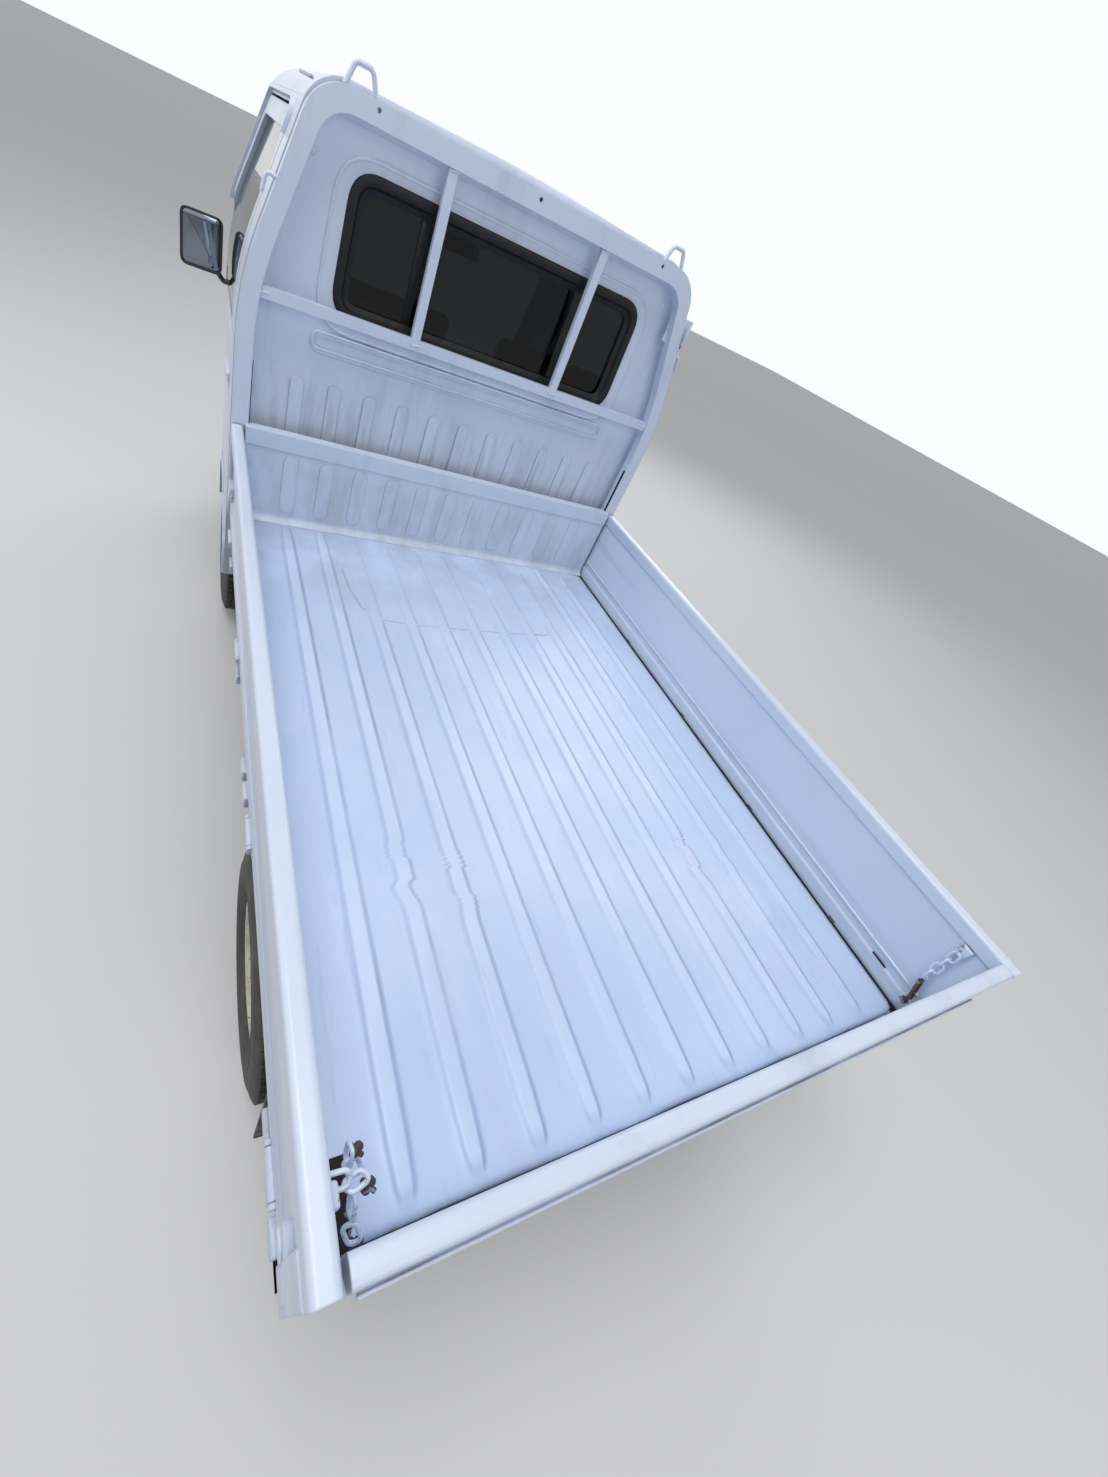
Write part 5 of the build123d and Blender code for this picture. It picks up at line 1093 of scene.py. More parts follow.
class TRUCK_OT_underneath(bpy.types.Operator):
    """Add dampers, spring clamps, brake pipes, and the tank's straps and filler cap"""
    bl_idname = "truck.underneath"
    bl_label = "Underneath"

    def execute(self, context):
        iron = []
        for _, sign in SIDES:
            iron += self.clamp(sign * SPRING_X) + self.damper(sign)
        dressed(joined(iron, "spring_clamps"), "axle", "chassis")
        pipes = [tube("pipe", line, radius, bend) for line, radius, bend in PIPES]
        dressed(joined(pipes, "brake_pipes"), "grip", "chassis")
        low, high = map(Vector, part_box("fuel_tank"))
        left, right, foot, top = low.x - 0.004, high.x + 0.004, low.z - 0.003, high.z - 0.010
        straps = [tube("strap", [(left, y, top), (left, y, foot), (right, y, foot), (right, y, top)], 0.005, 0.03)
                  for y in (low.y + 0.12, high.y - 0.12)]
        straps.append(turned("filler_cap", FILLER_CAP, (high.x - 0.001, high.y - 0.07, high.z - 0.075), "X", 24))
        dressed(joined(straps, "tank_straps"), "axle", "chassis")
        return {"FINISHED"}

    def clamp(self, x):
        """Four bolts and a plate that hold one spring on the axle."""
        bolts = [tube("u_bolt", [(x + dx, AXLE_Y + dy, 0.305), (x + dx, AXLE_Y + dy, 0.388)], 0.0055)
                 for dy in (-0.034, 0.034) for dx in (-0.030, 0.030)]
        return [*bolts, block("clamp_plate", (x - 0.042, AXLE_Y - 0.048, 0.3865), (x + 0.042, AXLE_Y + 0.048, 0.3945),
                              0.002)]

    def damper(self, sign):
        """One rear damper: rod, body and an eye at each end."""
        top, foot = Vector((sign * 0.400, 0.905, 0.560)), Vector((sign * 0.420, 1.055, 0.255))
        long = top - foot
        eye, pin = Vector((0.020, 0, 0)), Vector((0.024, 0, 0))
        lines = ((foot, top, 0.010), (foot + long * 0.02, foot + long * 0.58, 0.026), (foot - eye, foot + eye, 0.018),
                 (top - pin, top + pin, 0.014))
        return [tube("damper", (start, end), radius) for start, end, radius in lines]


# Cab glass and seals
def rim_seal(node, name, width):
    """A rubber frame round a pane: the pane's narrow sides, thickened."""
    seal = merged_copy(node, name)
    across = max(seal.data.polygons, key=lambda face: face.area).normal.copy()
    with editing(seal):
        pick_faces(seal, lambda at, normal: abs(normal.dot(across)) > 0.6)
        bpy.ops.mesh.delete(type="FACE")
    return shaped(seal, "SOLIDIFY", thickness=width, offset=0, use_even_offset=True)


class TRUCK_OT_seals(bpy.types.Operator):
    """Set the windows in black rubber"""
    bl_idname = "truck.seals"
    bl_label = "Window seals"

    def execute(self, context):
        dressed(window_frame(), "rubber", "chassis")
        dressed(rim_seal("windscreen", "windscreen_seal", 0.018), "rubber", "chassis")
        for side, _ in SIDES:
            seal = rim_seal(f"door_glass_{side}", f"door_seal_{side}", 0.010)
            dressed(seal, "rubber", f"door_{side}")
        return {"FINISHED"}


def window_frame():
    """The rear window's thick rubber with a raised outer lip, and the sliding panes' two uprights."""
    pane_low, pane_high = map(Vector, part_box("rear_window"))
    low, high, half = pane_low.z - 0.016, pane_high.z + 0.014, pane_high.x + 0.014
    outline = [(-half, low), (half, low), (half - 0.012, high), (0.012 - half, high)]
    rubber = sheet_outline("rear_window_seal", outline, 0.078)
    pressed(rubber, ((0.003, 0.006), (0.009, 0.003), (0.012, -0.003), (0.006, -0.009), (0.014, -0.004)), hole=True)
    stood(rubber, "+Y", (0, BACK_HIGH.y - 0.0012, 0))
    shaped(rubber, "SOLIDIFY", thickness=0.004, offset=-1)
    uprights = [block("slider", (x - 0.012, pane_low.y - 0.004, low + 0.036),
                      (x + 0.012, pane_high.y + 0.004, high - 0.036), 0.003) for x in (-0.275, 0.275)]
    return joined([rubber, *uprights], "rear_window_seal")


# Mirrors
HEAD_TALL = 0.182
HEAD_IN = 0.0375  # from the node's inner side to the housing
GLASS_EDGE = 0.008
HEAD_BACK = ((0.014, 1.0), (0.014, 0.97), (0.012, 0.90), (0.008, 0.78), (0.004, 0.60))  # depth, then its size


class TRUCK_OT_mirrors(bpy.types.Operator):
    """Model both door mirrors with their glass and arms"""
    bl_idname = "truck.mirrors"
    bl_label = "Mirrors"

    def execute(self, context):
        for side, sign in SIDES:
            low, high = map(Vector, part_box(f"mirror_{side}"))
            shell = mirror_shell(side, low, high, sign)
            dressed(shell, "black_plastic", f"door_{side}", 50)
            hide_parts(f"mirror_{side}")
            glass = mirror_glass(side, low, high, sign)
            dressed(glass, "mirror", f"door_{side}", 50)
        return {"FINISHED"}


def mirror_shell(side, low, high, sign):
    """A rounded housing open to the rear, with its arm and its foot on the door."""
    inner, outer = sorted((low.x, high.x), key=abs)
    foot_z = high.z - HEAD_TALL
    near = inner + sign * HEAD_IN
    x0, x1 = sorted((near, outer))
    head = sheet_outline(f"mirror_shell_{side}", oblong(x0, foot_z, x1, high.z), 0.028)
    middle = ((x0 + x1) / 2, (foot_z + high.z) / 2, 0)
    with editing(head):
        bpy.ops.mesh.select_all(action="SELECT")
        for back, grow in HEAD_BACK:
            bpy.ops.mesh.extrude_region_move(TRANSFORM_OT_translate={"value": (0, 0, -back)})
            bpy.ops.transform.resize(value=(grow, grow, 1), center_override=middle)
    outward(head)
    with editing(head):
        pick_faces(head, lambda at, normal: at.z > -0.001 and normal.z > 0.9)
        bpy.ops.mesh.inset(thickness=0.006, depth=0.0)
        bpy.ops.mesh.inset(thickness=0.002, depth=-0.009)
    stood_mirror(head, high.y - 0.001)
    rear = (low.y + high.y) / 2
    arm = tube(f"mirror_arm_{side}", [(inner + sign * 0.004, rear, foot_z - 0.016),
                                      (near - sign * 0.006, rear, foot_z - 0.018),
                                      (near + sign * 0.020, rear, foot_z + 0.012)], 0.0095, bend=0.02)
    foot = sided(f"mirror_foot_{side}", sign, (abs(inner) - 0.002, low.y + 0.004, low.z + 0.004),
                 (abs(inner) + 0.020, high.y - 0.004, low.z + 0.072), 0.006, 3)
    return joined([head, arm, foot], f"mirror_shell_{side}")


def stood_mirror(obj, y):
    """Stand a sheet drawn in (x, z) up so that its +Z looks to the rear."""
    obj.data.transform(Matrix(((1, 0, 0, 0), (0, 0, 1, y), (0, 1, 0, 0), (0, 0, 0, 1))))
    obj.data.flip_normals()


def mirror_glass(side, low, high, sign):
    """The mirror's glass, slightly domed, just inside the housing's rim."""
    inner, outer = sorted((low.x, high.x), key=abs)
    x0, x1 = sorted((inner + sign * (HEAD_IN + GLASS_EDGE), outer - sign * GLASS_EDGE))
    glass = sheet_outline(f"mirror_glass_{side}", oblong(x0, high.z - HEAD_TALL + GLASS_EDGE, x1, high.z - GLASS_EDGE),
                          0.021)
    pressed(glass, ((0.003, 0.001), (0.007, 0.0008), (0.008, 0.0003)))
    stood_mirror(glass, high.y - 0.008)
    shaped(glass, "SOLIDIFY", thickness=0.002, offset=-1)
    return glass


# Lamps
BOWL = ((0.0, 0.044), (0.004, 0.046), (0.022, 0.020), (0.024, 0.012), (0.010, 0.010), (0.007, 0.006))
FOG_LAMP = ((0.0, 0.037), (-0.006, 0.037), (-0.009, 0.034), (-0.007, 0.031), (-0.009, 0.022), (-0.0105, 0.008))
HALF_RIB = 0.0015


class TRUCK_OT_lamps(bpy.types.Operator):
    """Give the lamps their reflectors, bulbs, indicators and coloured lenses"""
    bl_idname = "truck.lamps"
    bl_label = "Lamps"

    def execute(self, context):
        bowls = merged_copy("headlamps", "lamp_reflectors")
        bowls.data.transform(Matrix.Translation((0, 0.030, 0)))
        bulbs = [turned("bowl", BOWL, ahead("headlamps", sign * 0.515, 0.693) + Vector((0, 0.004, 0)), "Y", 32)
                 for _, sign in SIDES]
        dressed(joined([bowls, *bulbs], "lamp_reflectors"), "reflector", "chassis", 30)
        outer = Vector(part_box("headlamps")[1]).x
        dressed(joined([self.amber(sign, outer) for _, sign in SIDES], "lamp_indicators"), "amber", "chassis",
                30)
        fogs = [turned("fog_lamp", FOG_LAMP, (sign * (GATE_HIGH.x - 0.222), TRUCK_LOW.y + 0.013, 0.325), "Y", 32)
                for _, sign in SIDES]
        dressed(joined(fogs, "fog_lamps"), "reflector", "chassis", 30)
        self.tail_lamps()
        return {"FINISHED"}

    def amber(self, sign, outer):
        """The outer end of one head lamp, a little inside its lens."""
        piece = merged_copy("headlamps", "amber")
        kept(piece, (sign * (outer - 0.050), 0, 0), (sign, 0, 0))
        middle = sum((Vector(corner) for corner in piece.bound_box), Vector()) / 8
        piece.data.transform(Matrix.Translation(middle) @ Matrix.Diagonal((0.90, 0.90, 0.90, 1))
                             @ Matrix.Translation(-middle))
        return piece

    def tail_lamps(self):
        """Red over amber and white, with a rib between, in each rear corner."""
        low, high = map(Vector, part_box("tail_lamps"))
        brake, half = low.z + 0.048, high.x - 0.036
        core = merged_copy("tail_lamps", "tail_core")
        core.data.transform(Matrix.Translation((0, -0.003, 0)))
        dressed(core, "black_plastic", "chassis", 30)
        red = kept(merged_copy("tail_lamps", "tail_red"), (0, 0, brake + HALF_RIB), (0, 0, 1))
        below = kept(merged_copy("tail_lamps", "below"), (0, 0, brake - HALF_RIB), (0, 0, -1))
        ambers, whites = [], []
        for _, sign in SIDES:
            side = kept(copied(below, "side"), (0, 0, 0), (sign, 0, 0))
            ambers.append(kept(copied(side, "outer"), (sign * (half + HALF_RIB), 0, 0), (sign, 0, 0)))
            whites.append(kept(side, (sign * (half - HALF_RIB), 0, 0), (-sign, 0, 0)))
        bpy.data.objects.remove(below)
        dressed(red, "red", "chassis", 30)
        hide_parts("tail_lamps")
        dressed(joined(ambers, "tail_amber"), "amber", "chassis", 30)
        dressed(joined(whites, "tail_white"), "lamp_white", "chassis", 30)


# Front of the cab
WIPERS = ((-0.07, 0.060, -0.42), (0.40, 0.050, 0.02))  # foot across, rise, tip across
PLATE_HALF_X, PLATE_HALF_Z = 0.165, 0.0825
INTAKE_X = 0.33


class TRUCK_OT_front(bpy.types.Operator):
    """Add wipers, blank plates front and rear, and the intake's mesh"""
    bl_idname = "truck.front"
    bl_label = "Front trim"

    def execute(self, context):
        dressed(joined([self.wiper(*row) for row in WIPERS], "wipers"), "black_plastic", "chassis", 40)
        face = ahead("cab_front_panel", 0, 0.53).y
        self.plate("front_plate", (0, face - 0.006, 0.535))
        face = landed("rear_panel", (0.10, TRUCK_HIGH.y + 1, 0.53), (0, -1, 0)).y
        self.plate("rear_plate", (0, face + 0.003, 0.528), rear=True)
        nose = TRUCK_LOW.y
        bars = [block("intake_backing", (-INTAKE_X - 0.005, nose + 0.027, 0.290),
                      (INTAKE_X + 0.005, nose + 0.030, 0.360), 0.001)]
        for number in range(4):
            z = 0.302 + number * 0.0155
            bars.append(block("intake_bar", (-INTAKE_X, nose + 0.020, z), (INTAKE_X, nose + 0.028, z + 0.004), 0.0015))
        dressed(joined(bars, "intake_mesh"), "black_plastic", "chassis", 40)
        return {"FINISHED"}

    def wiper(self, root_x, rise, tip_x):
        """An arm and its blade, lying on the windscreen."""
        root = ahead("windscreen", root_x, 1.032) + Vector((0, -0.012, -0.004))
        middle = ahead("windscreen", (root_x + tip_x) / 2, 1.045 + rise * 0.3) + Vector((0, -0.012, 0))
        ends = [ahead("windscreen", x, 1.040 + lift) + Vector((0, -0.005, 0))
                for x, lift in ((root_x - 0.06, 0.004), (tip_x, rise * 0.5))]
        arm = tube("arm", [root, root + (middle - root) * 0.5 + Vector((0, -0.006, 0)), middle], 0.0055, bend=0.04)
        blade = tube("blade", ends, 0.0045)
        hub = turned("hub", ((-0.016, 0.010), (-0.013, 0.014), (0.012, 0.015)), root, "Y", 20)
        return joined([arm, blade, hub], "wiper")

    def plate(self, name, centre, rear=False):
        """A blank number plate with a pressed rim and two bolts."""
        sheet = sheet_outline(name, oblong(-PLATE_HALF_X, -PLATE_HALF_Z, PLATE_HALF_X, PLATE_HALF_Z), 0.010)
        pressed(sheet, ((0.0025, 0.0), (0.001, 0.0012), (0.0035, 0.0), (0.001, -0.0012)))
        stood(sheet, "+Y" if rear else "-Y", centre)
        shaped(sheet, "SOLIDIFY", thickness=0.0012, offset=-1)
        dressed(sheet, "plate_yellow", "chassis", 30)
        bolts = joined([turned("bolt", ((-0.004, 0.004), (-0.0035, 0.006), (0.0, 0.0065)),
                               Vector(centre) + Vector((sign * 0.105, 0, 0.060)), "Y", 6) for sign in (-1, 1)],
                       f"{name}_bolts")
        if rear:
            bolts.data.transform(Matrix.Translation((0, 2 * centre[1], 0)) @ Matrix.Diagonal((1, -1, 1, 1)))
            bolts.data.flip_normals()
        dressed(bolts, "plated", "chassis", 30)


# Seats, as the left one: low and high corners before the back leans
CUSHION = ((0.085, -1.128, 0.700), (0.545, -0.672, 0.785))
BACK_PAD = ((0.090, -0.640, 0.703), (0.540, -0.560, 1.376))
BACK_LEAN = 0.150
VOXEL = 0.006
PUFF = 0.011
PUFF_FRAMES = 20
SEWN_XS = (0.155, 0.475)
SEWN_FROM, SEWN_TO = 0.16, 0.47


class TRUCK_OT_seats(bpy.types.Operator):
    """Upholster both seats: padded cushions and backs with sewn channels"""
    bl_idname = "truck.seats"
    bl_label = "Seats"

    def execute(self, context):
        cushion = pad("cushion", *CUSHION)
        sewn(cushion, 1, (-1.03, -0.94, -0.85, -0.76), 0.008,
             lambda at: SEWN_FROM < at.x < SEWN_TO and at.z > 0.75, (0, 0, -0.004))
        sewn(cushion, 0, SEWN_XS, 0.007, lambda at: at.y < -0.72 and at.z > 0.75, (0, 0, -0.005))
        self.paired(cushion, "seat_cushion_pads", "seat_cushions", 0.85)

        back = pad("back", *BACK_PAD)
        front = (BACK_PAD[0][1] + BACK_PAD[1][1]) / 2
        sewn(back, 2, (0.86, 0.96, 1.06, 1.16), 0.008,
             lambda at: SEWN_FROM < at.x < SEWN_TO and at.y < front, (0, 0.004, 0))
        sewn(back, 0, SEWN_XS, 0.007, lambda at: at.z < 1.22 and at.y < front, (0, 0.005, 0))
        slope = Matrix(((1, 0, 0, 0), (0, 1, BACK_LEAN, -BACK_LEAN * BACK_PAD[0][2]), (0, 0, 1, 0), (0, 0, 0, 1)))
        back.data.transform(slope)
        self.paired(back, "seat_back_pads", "seat_backs", 0.8)
        return {"FINISHED"}

    def paired(self, left, name, node, fill):
        """The left pad and its mirror image as one padded piece in the node's place."""
        both = joined([left, copied(left, "right", flip=True)], name)
        dressed(both, "vinyl", "chassis", 70)
        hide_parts(node)


def pad(name, low, high):
    """A padded block, blown up by cloth simulation."""
    shape = block(name, low, high, 0.026, 4)
    shape.data.remesh_voxel_size = VOXEL
    only(shape)
    bpy.ops.object.voxel_remesh()
    puffed(shape, PUFF)
    return shaped(shape, "SMOOTH", factor=0.6, iterations=3)


def puffed(shape, cap):
    """Cloth under pressure, with each point held within a cap of its start."""
    start = [point.co.copy() for point in shape.data.vertices]
    only(shape)
    cloth = shape.modifiers.new("Cloth", "CLOTH")
    cloth.settings.use_pressure = True
    cloth.settings.uniform_pressure_force = 4
    cloth.settings.effector_weights.gravity = 0
    for number in range(1, PUFF_FRAMES + 1):
        bpy.context.scene.frame_set(number)
    bpy.ops.object.modifier_apply(modifier=cloth.name)
    bpy.context.scene.frame_set(1)
    for point, place in zip(shape.data.vertices, start):
        move = point.co - place
        if move.length > cap:
            point.co = place + move * (cap / move.length)


def sewn(shape, axis, places, half, inside, move):
    """Draw sewn channels into a pad at places along an axis, where a point also lies inside."""
    for place in places:
        with editing(shape, "VERT"):
            pick_points(shape, lambda at: abs(at[axis] - place) < half and inside(at))
            bpy.ops.transform.translate(value=move)


# Cabin
BOARD_BLOCKS = (
    # name, low corner, high corner, bevel, its steps
    ("hood", (-0.485, -1.475, 0.962), (-0.205, -1.375, 1.048), 0.020, 3),
    ("radio", (-0.095, -1.335, 0.822), (0.085, -1.318, 0.880), 0.003, 2),
    ("glove_lid", (0.150, -1.336, 0.812), (0.520, -1.319, 0.886), 0.006, 3),
    ("tray_lip", (0.120, -1.400, 0.978), (0.560, -1.385, 1.000), 0.005, 3),
)
VENT_XS = (-0.560, -0.130, 0.050, 0.585)
KNOB_XS = (-0.060, -0.005, 0.050)
KNOB = ((0, 0.016), (0.004, 0.016), (0.018, 0.012), (0.020, 0.009))
DIAL_XS = (-0.392, -0.300)
DIAL = ((0, 0.040), (0.003, 0.040), (0.004, 0.036), (0.002, 0.035))
GEAR_BOOT = ((0, 0.052), (0.012, 0.050), (0.020, 0.036), (0.030, 0.038), (0.040, 0.024), (0.050, 0.026), (0.062, 0.012))
GEAR_KNOB = ((0, 0.010), (0.008, 0.018), (0.024, 0.023), (0.040, 0.020), (0.046, 0.012))
PEDALS = ((-0.455, 0.045), (-0.345, 0.050), (-0.245, 0.032))  # place across, width
BELTS = ((0.640, -0.455, 1.345, 0.760), (0.040, -0.585, 0.900, 0.700))  # upper anchor, height of the buckle
CARD_Y = (-1.40, -0.53)
CARD_Z = (0.72, 1.05)


class TRUCK_OT_cabin(bpy.types.Operator):
    """Fit out the cabin: dials, vents, levers, pedals, belts, mirror and door cards"""
    bl_idname = "truck.cabin"
    bl_label = "Cabin"

    def execute(self, context):
        board = [block(*row) for row in BOARD_BLOCKS]
        for x in VENT_XS:
            board += self.vent(x)
        board += [turned("knob", KNOB, (x, -1.322, 0.902), "Y", 20) for x in KNOB_XS]
        dressed(joined(board, "dash_fittings"), "dash", "chassis", 40)
        dials = [turned("dial", DIAL, (x, -1.375, 1.003), "Y", 32) for x in DIAL_XS]
        dressed(joined(dials, "dial_faces"), "black_plastic", "chassis", 30)

        levers = [
            tube("gear_lever", [(-0.020, -1.160, 0.480), (-0.020, -1.150, 0.640), (-0.030, -1.120, 0.800)],
                 0.007, 0.08),
            turned("gear_boot", GEAR_BOOT, (-0.020, -1.160, 0.455), "Z", 24),
            turned("gear_knob", GEAR_KNOB, (-0.030, -1.120, 0.796), "Z", 24),
            tube("brake_lever", [(0.020, -0.760, 0.700), (0.020, -0.900, 0.730), (0.020, -1.020, 0.760)], 0.011, 0.05),
            tube("stalks", [(-0.480, -1.290, 0.955), (-0.345, -1.295, 0.950), (-0.210, -1.290, 0.955)], 0.007, 0.02),
        ]
        for x, wide in PEDALS:
            levers.append(block("pedal", (x - wide / 2, -1.468, 0.540), (x + wide / 2, -1.456, 0.600), 0.004))
            levers.append(tube("pedal_arm", [(x, -1.462, 0.580), (x, -1.480, 0.700), (x, -1.470, 0.830)], 0.006, 0.04))
        dressed(joined(levers, "levers"), "grip", "chassis", 40)

        inside = [
            block("inner_mirror", (-0.215, -1.286, 1.475), (-0.005, -1.268, 1.530), 0.009, 3),
            tube("mirror_stem", [(-0.11, -1.277, 1.520), (-0.11, -1.290, 1.600), (-0.11, -1.270, 1.668)], 0.006, 0.03),
        ]
        inside += [sided("visor", sign, (0.12, -1.330, 1.590), (0.50, -1.180, 1.606), 0.007, 3) for _, sign in SIDES]
        dressed(joined(inside, "visors_and_mirror"), "dash", "chassis", 40)

        belts = [self.strap(sign * x, y, z, low) for _, sign in SIDES for x, y, z, low in BELTS]
        dressed(joined(belts, "seat_belts"), "webbing", "chassis", 40)
        for side, sign in SIDES:
            self.card(side, sign)
        return {"FINISHED"}

    def vent(self, x):
        """A framed air vent with four slats, set into the dashboard's slope."""
        parts = [block("vent", (x - 0.038, -1.372, 0.918), (x + 0.038, -1.352, 0.962), 0.004)]
        for number in range(4):
            z = 0.923 + number * 0.0095
            parts.append(block("slat", (x - 0.033, -1.356, z), (x + 0.033, -1.346, z + 0.004), 0.001, 1))
        return parts

    def strap(self, x, y, z, low):
        """A flat belt hanging from its anchor, with its buckle at the foot."""
        belt = block("strap", (x - 0.0012, y - 0.022, low), (x + 0.0012, y + 0.022, z), 0.0008, 1)
        anchor = block("anchor", (x - 0.010, y - 0.030, z - 0.020), (x + 0.010, y + 0.030, z + 0.030), 0.006, 3)
        buckle = block("buckle", (x - 0.009, y - 0.028, low), (x + 0.009, y + 0.028, low + 0.090), 0.006, 3)
        return joined([belt, anchor, buckle], "belt")

    def card(self, side, sign):
        """Trim panel on the inside of a door, following its shape, with arm rest and crank."""
        card = merged_copy(f"door_{side}", f"door_card_{side}")
        (front, rear), (foot, top) = CARD_Y, CARD_Z
        with editing(card):
            for z in CARD_Z:
                cut((0, 0, z), (0, 0, 1))
            for y in CARD_Y:
                cut((0, y, 0), (0, 1, 0))
            pick_faces(card, lambda at, normal: not (normal.x * sign < -0.7 and abs(at.x) > 0.64
                                                      and foot < at.z < top and front < at.y < rear))
            bpy.ops.mesh.delete(type="FACE")
        shaped(card, "SOLIDIFY", thickness=0.007, offset=1)
        x = sign * 0.690
        rest = sided("arm_rest", sign, (0.660, -1.02, 0.860), (0.690, -0.72, 0.900), 0.012, 3)
        crank = tube("crank", [(x, -1.10, 0.960), (x - sign * 0.018, -1.10, 0.960), (x - sign * 0.022, -1.08, 0.905),
                               (x - sign * 0.040, -1.08, 0.905)], 0.007, 0.010)
        dressed(joined([card, rest, crank], f"door_card_{side}"), "dash", f"door_{side}", 40)


# Wheels
TYRE_RADIUS = 0.272
BEAD = 0.1533  # radius of the tyre's foot on the rim
SIDEWALL = (
    # half width and radius, from the foot to the shoulder and over the tread's grooves
    (0.0515, BEAD), (0.0518, 0.166), (0.058, 0.1705), (0.0655, 0.181), (0.0705, 0.196), (0.0722, 0.200),
    (0.0722, 0.204), (0.0712, 0.2045), (0.0725, 0.215), (0.0722, 0.226), (0.0700, 0.236), (0.0706, 0.238),
    (0.0700, 0.241), (0.0655, 0.2515), (0.0625, 0.2625), (0.0590, 0.2660), (0.0590, 0.2655), (0.0375, 0.2655),
    (0.0145, 0.2655),
)
TREAD_RIBS = ((-0.050, 0.017), (-0.0265, 0.018), (0.0, 0.019), (0.0265, 0.018), (0.050, 0.017))  # place, width
TREAD_PITCHES = 60
TREAD_FILL = 0.86
NUT = ((0, 0.0125), (0.011, 0.0125), (0.0135, 0.0095), (0.0135, 0.005), (0.018, 0.005), (0.0185, 0.003))
NUT_CIRCLE = 0.050
DISC_X = 0.034
VALVE = ((0, 0.004), (0.016, 0.004), (0.017, 0.003), (0.024, 0.003))


class TRUCK_OT_wheels(bpy.types.Operator):
    """Model the tyres with tread and sidewall rings, the wheel nuts and the valves"""
    bl_idname = "truck.wheels"
    bl_label = "Wheels"

    def execute(self, context):
        tyre = tyre_shape()
        nuts = wheel_nuts()
        for end in ("front", "rear"):
            for side, sign in SIDES:
                low, high = map(Vector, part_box(f"tyre_{end}_{side}"))
                centre = (low + high) / 2
                shown = copied(tyre, f"tread_{end}_{side}", centre)
                dressed(shown, "tyre", f"wheel_{end}_{side}", 40)
                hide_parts(f"tyre_{end}_{side}")
                studs = copied(nuts, f"nuts_{end}_{side}", centre, flip=sign < 0)
                dressed(studs, "plated", f"wheel_{end}_{side}", 40)
        bpy.data.objects.remove(nuts)
        bpy.data.objects.remove(tyre)
        return {"FINISHED"}


def tyre_shape():
    """A tyre about the X axis at the origin: carcass, sidewall rings and tread blocks."""
    rows = [(-x, radius) for x, radius in SIDEWALL] + [*reversed(SIDEWALL)]
    inner = [(0.0515, BEAD), (0.030, BEAD - 0.0005), (-0.030, BEAD - 0.0005)]
    carcass = turned("carcass", rows + inner, axis="X", steps=72, closed=False)
    with editing(carcass, "EDGE"):
        bpy.ops.mesh.select_non_manifold()
        bpy.ops.mesh.bridge_edge_loops()
    outward(carcass)
    ribs = []
    length = 2 * math.pi * TYRE_RADIUS / TREAD_PITCHES * TREAD_FILL
    for number, (x, width) in enumerate(TREAD_RIBS):
        rib = block("rib", (x - width / 2, -length / 2, TYRE_RADIUS - 0.009),
                    (x + width / 2, length / 2, TYRE_RADIUS - 0.0006), 0.0012, 1)
        rib.data.transform(Matrix.Rotation(math.pi / TREAD_PITCHES * (number % 2), 4, "X"))
        ribs.append(rib)
    pitch = joined(ribs, "pitch")
    with editing(pitch):
        bpy.ops.mesh.select_all(action="SELECT")
        bpy.ops.mesh.spin(steps=TREAD_PITCHES, dupli=True, angle=2 * math.pi, center=(0, 0, 0), axis=(1, 0, 0))
        merge_doubles(1e-6)
    return joined([carcass, pitch], "tyre_shape")


def wheel_nuts():
    """Four nuts and the valve, for a left wheel at the origin."""
    parts = []
    for angle in map(math.radians, (45, 135, 225, 315)):
        place = (DISC_X + 0.002, NUT_CIRCLE * math.cos(angle), NUT_CIRCLE * math.sin(angle))
        parts.append(turned("nut", NUT, place, "X", 6))
    parts.append(turned("valve", VALVE, (DISC_X - 0.008, 0, -0.134), "X", 12))
    return joined(parts, "nuts")


# Stage
def to_the_eye(tree):
    """1 for rays from the camera, in reflections and through glass, and 0 for those that carry light."""
    rays = tree.nodes.new("ShaderNodeLightPath")
    found = rays.outputs["Is Camera Ray"]
    for kind in ("Is Glossy Ray", "Is Transmission Ray"):
        larger = tree.nodes.new("ShaderNodeMath")
        larger.operation = "MAXIMUM"
        tree.links.new(found, larger.inputs[0])
        tree.links.new(rays.outputs[kind], larger.inputs[1])
        found = larger.outputs[0]
    return found


class TRUCK_OT_stage(bpy.types.Operator):
    """Set up the pale floor, the soft lamps and the camera"""
    bl_idname = "truck.stage"
    bl_label = "Stage"

    def execute(self, context):
        stage = context.scene.truck.stage
        make_floor()
        make_world(context, stage)
        make_lamps()
        make_camera(context, stage)
        context.scene.view_settings.view_transform = "Standard"
        return {"FINISHED"}


def make_floor():
    """A wide pale floor."""
    floor = add("grid", "floor", size=120, x_subdivisions=4, y_subdivisions=4)
    tone = Finish("floor_tone", (0.56, 0.56, 0.57), 0.9)
    tone.mottle(tone.noise(0.4, 2), 0.3, 0.7, 0.25, (0.52, 0.52, 0.53))
    tone.set("Emission Color", (0.9, 0.92, 0.95, 1))
    tone.feed(tone.shader, "Emission Strength", tone.ramp(to_the_eye(tone.tree), 0.0, 1.0, 0.0, 0.10))
    floor.data.materials.append(tone.material)


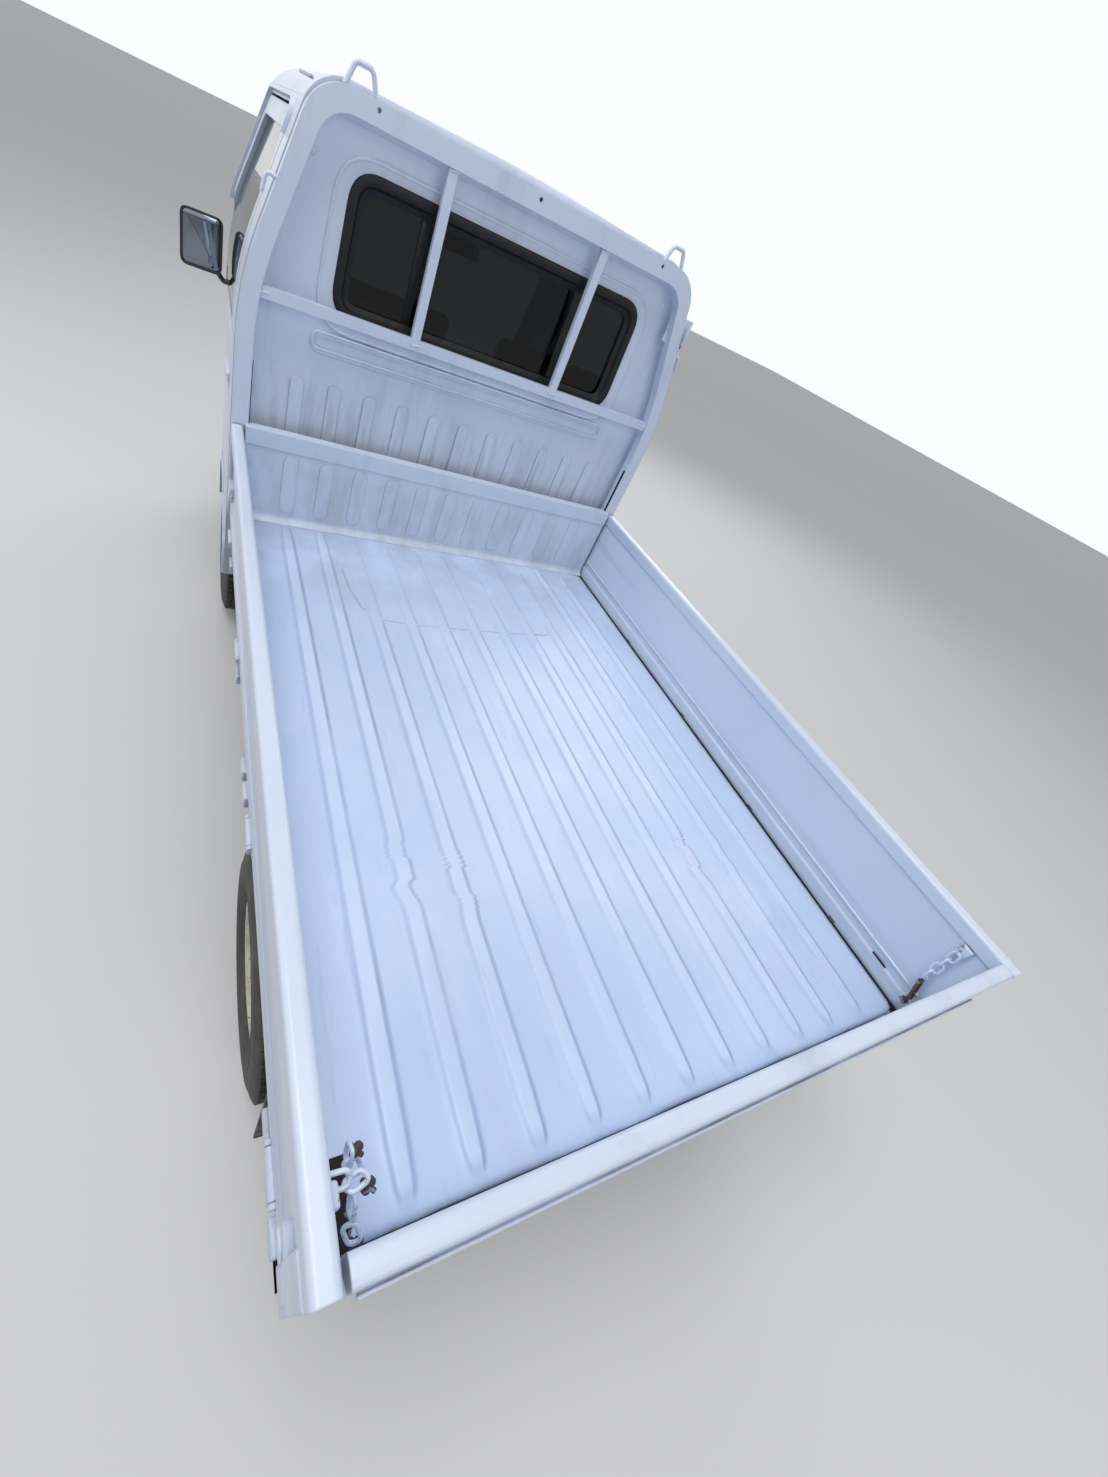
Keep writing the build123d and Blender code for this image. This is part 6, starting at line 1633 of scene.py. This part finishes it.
def make_world(context, stage):
    """Even light, white to the camera, in reflections and through glass."""
    world = bpy.data.worlds.new("daylight")
    context.scene.world = world
    world.use_nodes = True
    tree = world.node_tree
    back = tree.nodes["Background"]
    back.inputs["Color"].default_value = (0.97, 0.98, 1.0, 1)
    level = tree.nodes.new("ShaderNodeMapRange")
    level.inputs["To Min"].default_value = stage.daylight
    level.inputs["To Max"].default_value = 1.0
    tree.links.new(to_the_eye(tree), level.inputs["Value"])
    tree.links.new(level.outputs[0], back.inputs["Strength"])


LAMPS = (
    # name, place, size, power, colour
    ("key", (1.6, 0.9, 6.8), 3.2, 205, (1.0, 0.995, 0.98)),
    ("fill", (-4.0, -4.5, 4.5), 4.0, 110, (0.96, 0.98, 1.0)),
    ("rear", (-1.0, 6.5, 4.0), 3.5, 80, (1.0, 1.0, 1.0)),
    ("side", (5.5, -1.0, 3.0), 3.0, 70, (1.0, 1.0, 1.0)),
)


def make_lamps():
    """Soft area lamps that look at the truck's middle."""
    target = (TRUCK_LOW + TRUCK_HIGH) / 2
    for name, place, size, power, colour in LAMPS:
        clear()
        bpy.ops.object.light_add(type="AREA", location=place)
        lamp = bpy.context.object
        lamp.name = f"{name}_lamp"
        lamp.data.size = size
        lamp.data.energy = power
        lamp.data.color = colour
        lamp.rotation_euler = (target - Vector(place)).to_track_quat("-Z", "Y").to_euler()


def make_camera(context, stage):
    """The camera at the photo's place."""
    clear()
    bpy.ops.object.camera_add(location=stage.place, rotation=stage.turn)
    camera = bpy.context.object
    camera.name = "camera"
    camera.data.lens = stage.lens
    camera.data.sensor_width = 36
    camera.data.shift_x, camera.data.shift_y = stage.shift
    camera.data.clip_start = 0.01
    camera.data.clip_end = 400
    context.scene.camera = camera


class TRUCK_PT_panel(bpy.types.Panel):
    """Buttons for every group of pieces"""
    bl_idname = "TRUCK_PT_panel"
    bl_label = "Kei Truck"
    bl_space_type = "VIEW_3D"
    bl_region_type = "UI"
    bl_category = "Kei Truck"

    def draw(self, context):
        layout = self.layout
        settings = context.scene.truck
        for group in (settings.paint, settings.bed, settings.stage):
            box = layout.box()
            for name in group.__annotations__:
                box.prop(group, name)
        for operator in OPERATORS:
            layout.operator(operator.bl_idname)


OPERATORS = (
    TRUCK_OT_finishes,
    TRUCK_OT_bed_floor,
    TRUCK_OT_chains,
    TRUCK_OT_guard,
    TRUCK_OT_gates,
    TRUCK_OT_underneath,
    TRUCK_OT_seals,
    TRUCK_OT_mirrors,
    TRUCK_OT_lamps,
    TRUCK_OT_front,
    TRUCK_OT_seats,
    TRUCK_OT_cabin,
    TRUCK_OT_wheels,
    TRUCK_OT_stage,
)
CLASSES = (PaintSettings, BedSettings, StageSettings, TruckSettings, *OPERATORS, TRUCK_PT_panel)


def register():
    for made in CLASSES:
        bpy.utils.register_class(made)
    bpy.types.Scene.truck = PointerProperty(type=TruckSettings)


def unregister():
    del bpy.types.Scene.truck
    for made in reversed(CLASSES):
        bpy.utils.unregister_class(made)


def main():
    register()
    for operator in OPERATORS:
        group, name = operator.bl_idname.split(".")
        getattr(getattr(bpy.ops, group), name)()
    clear()


if __name__ == "__main__":
    main()
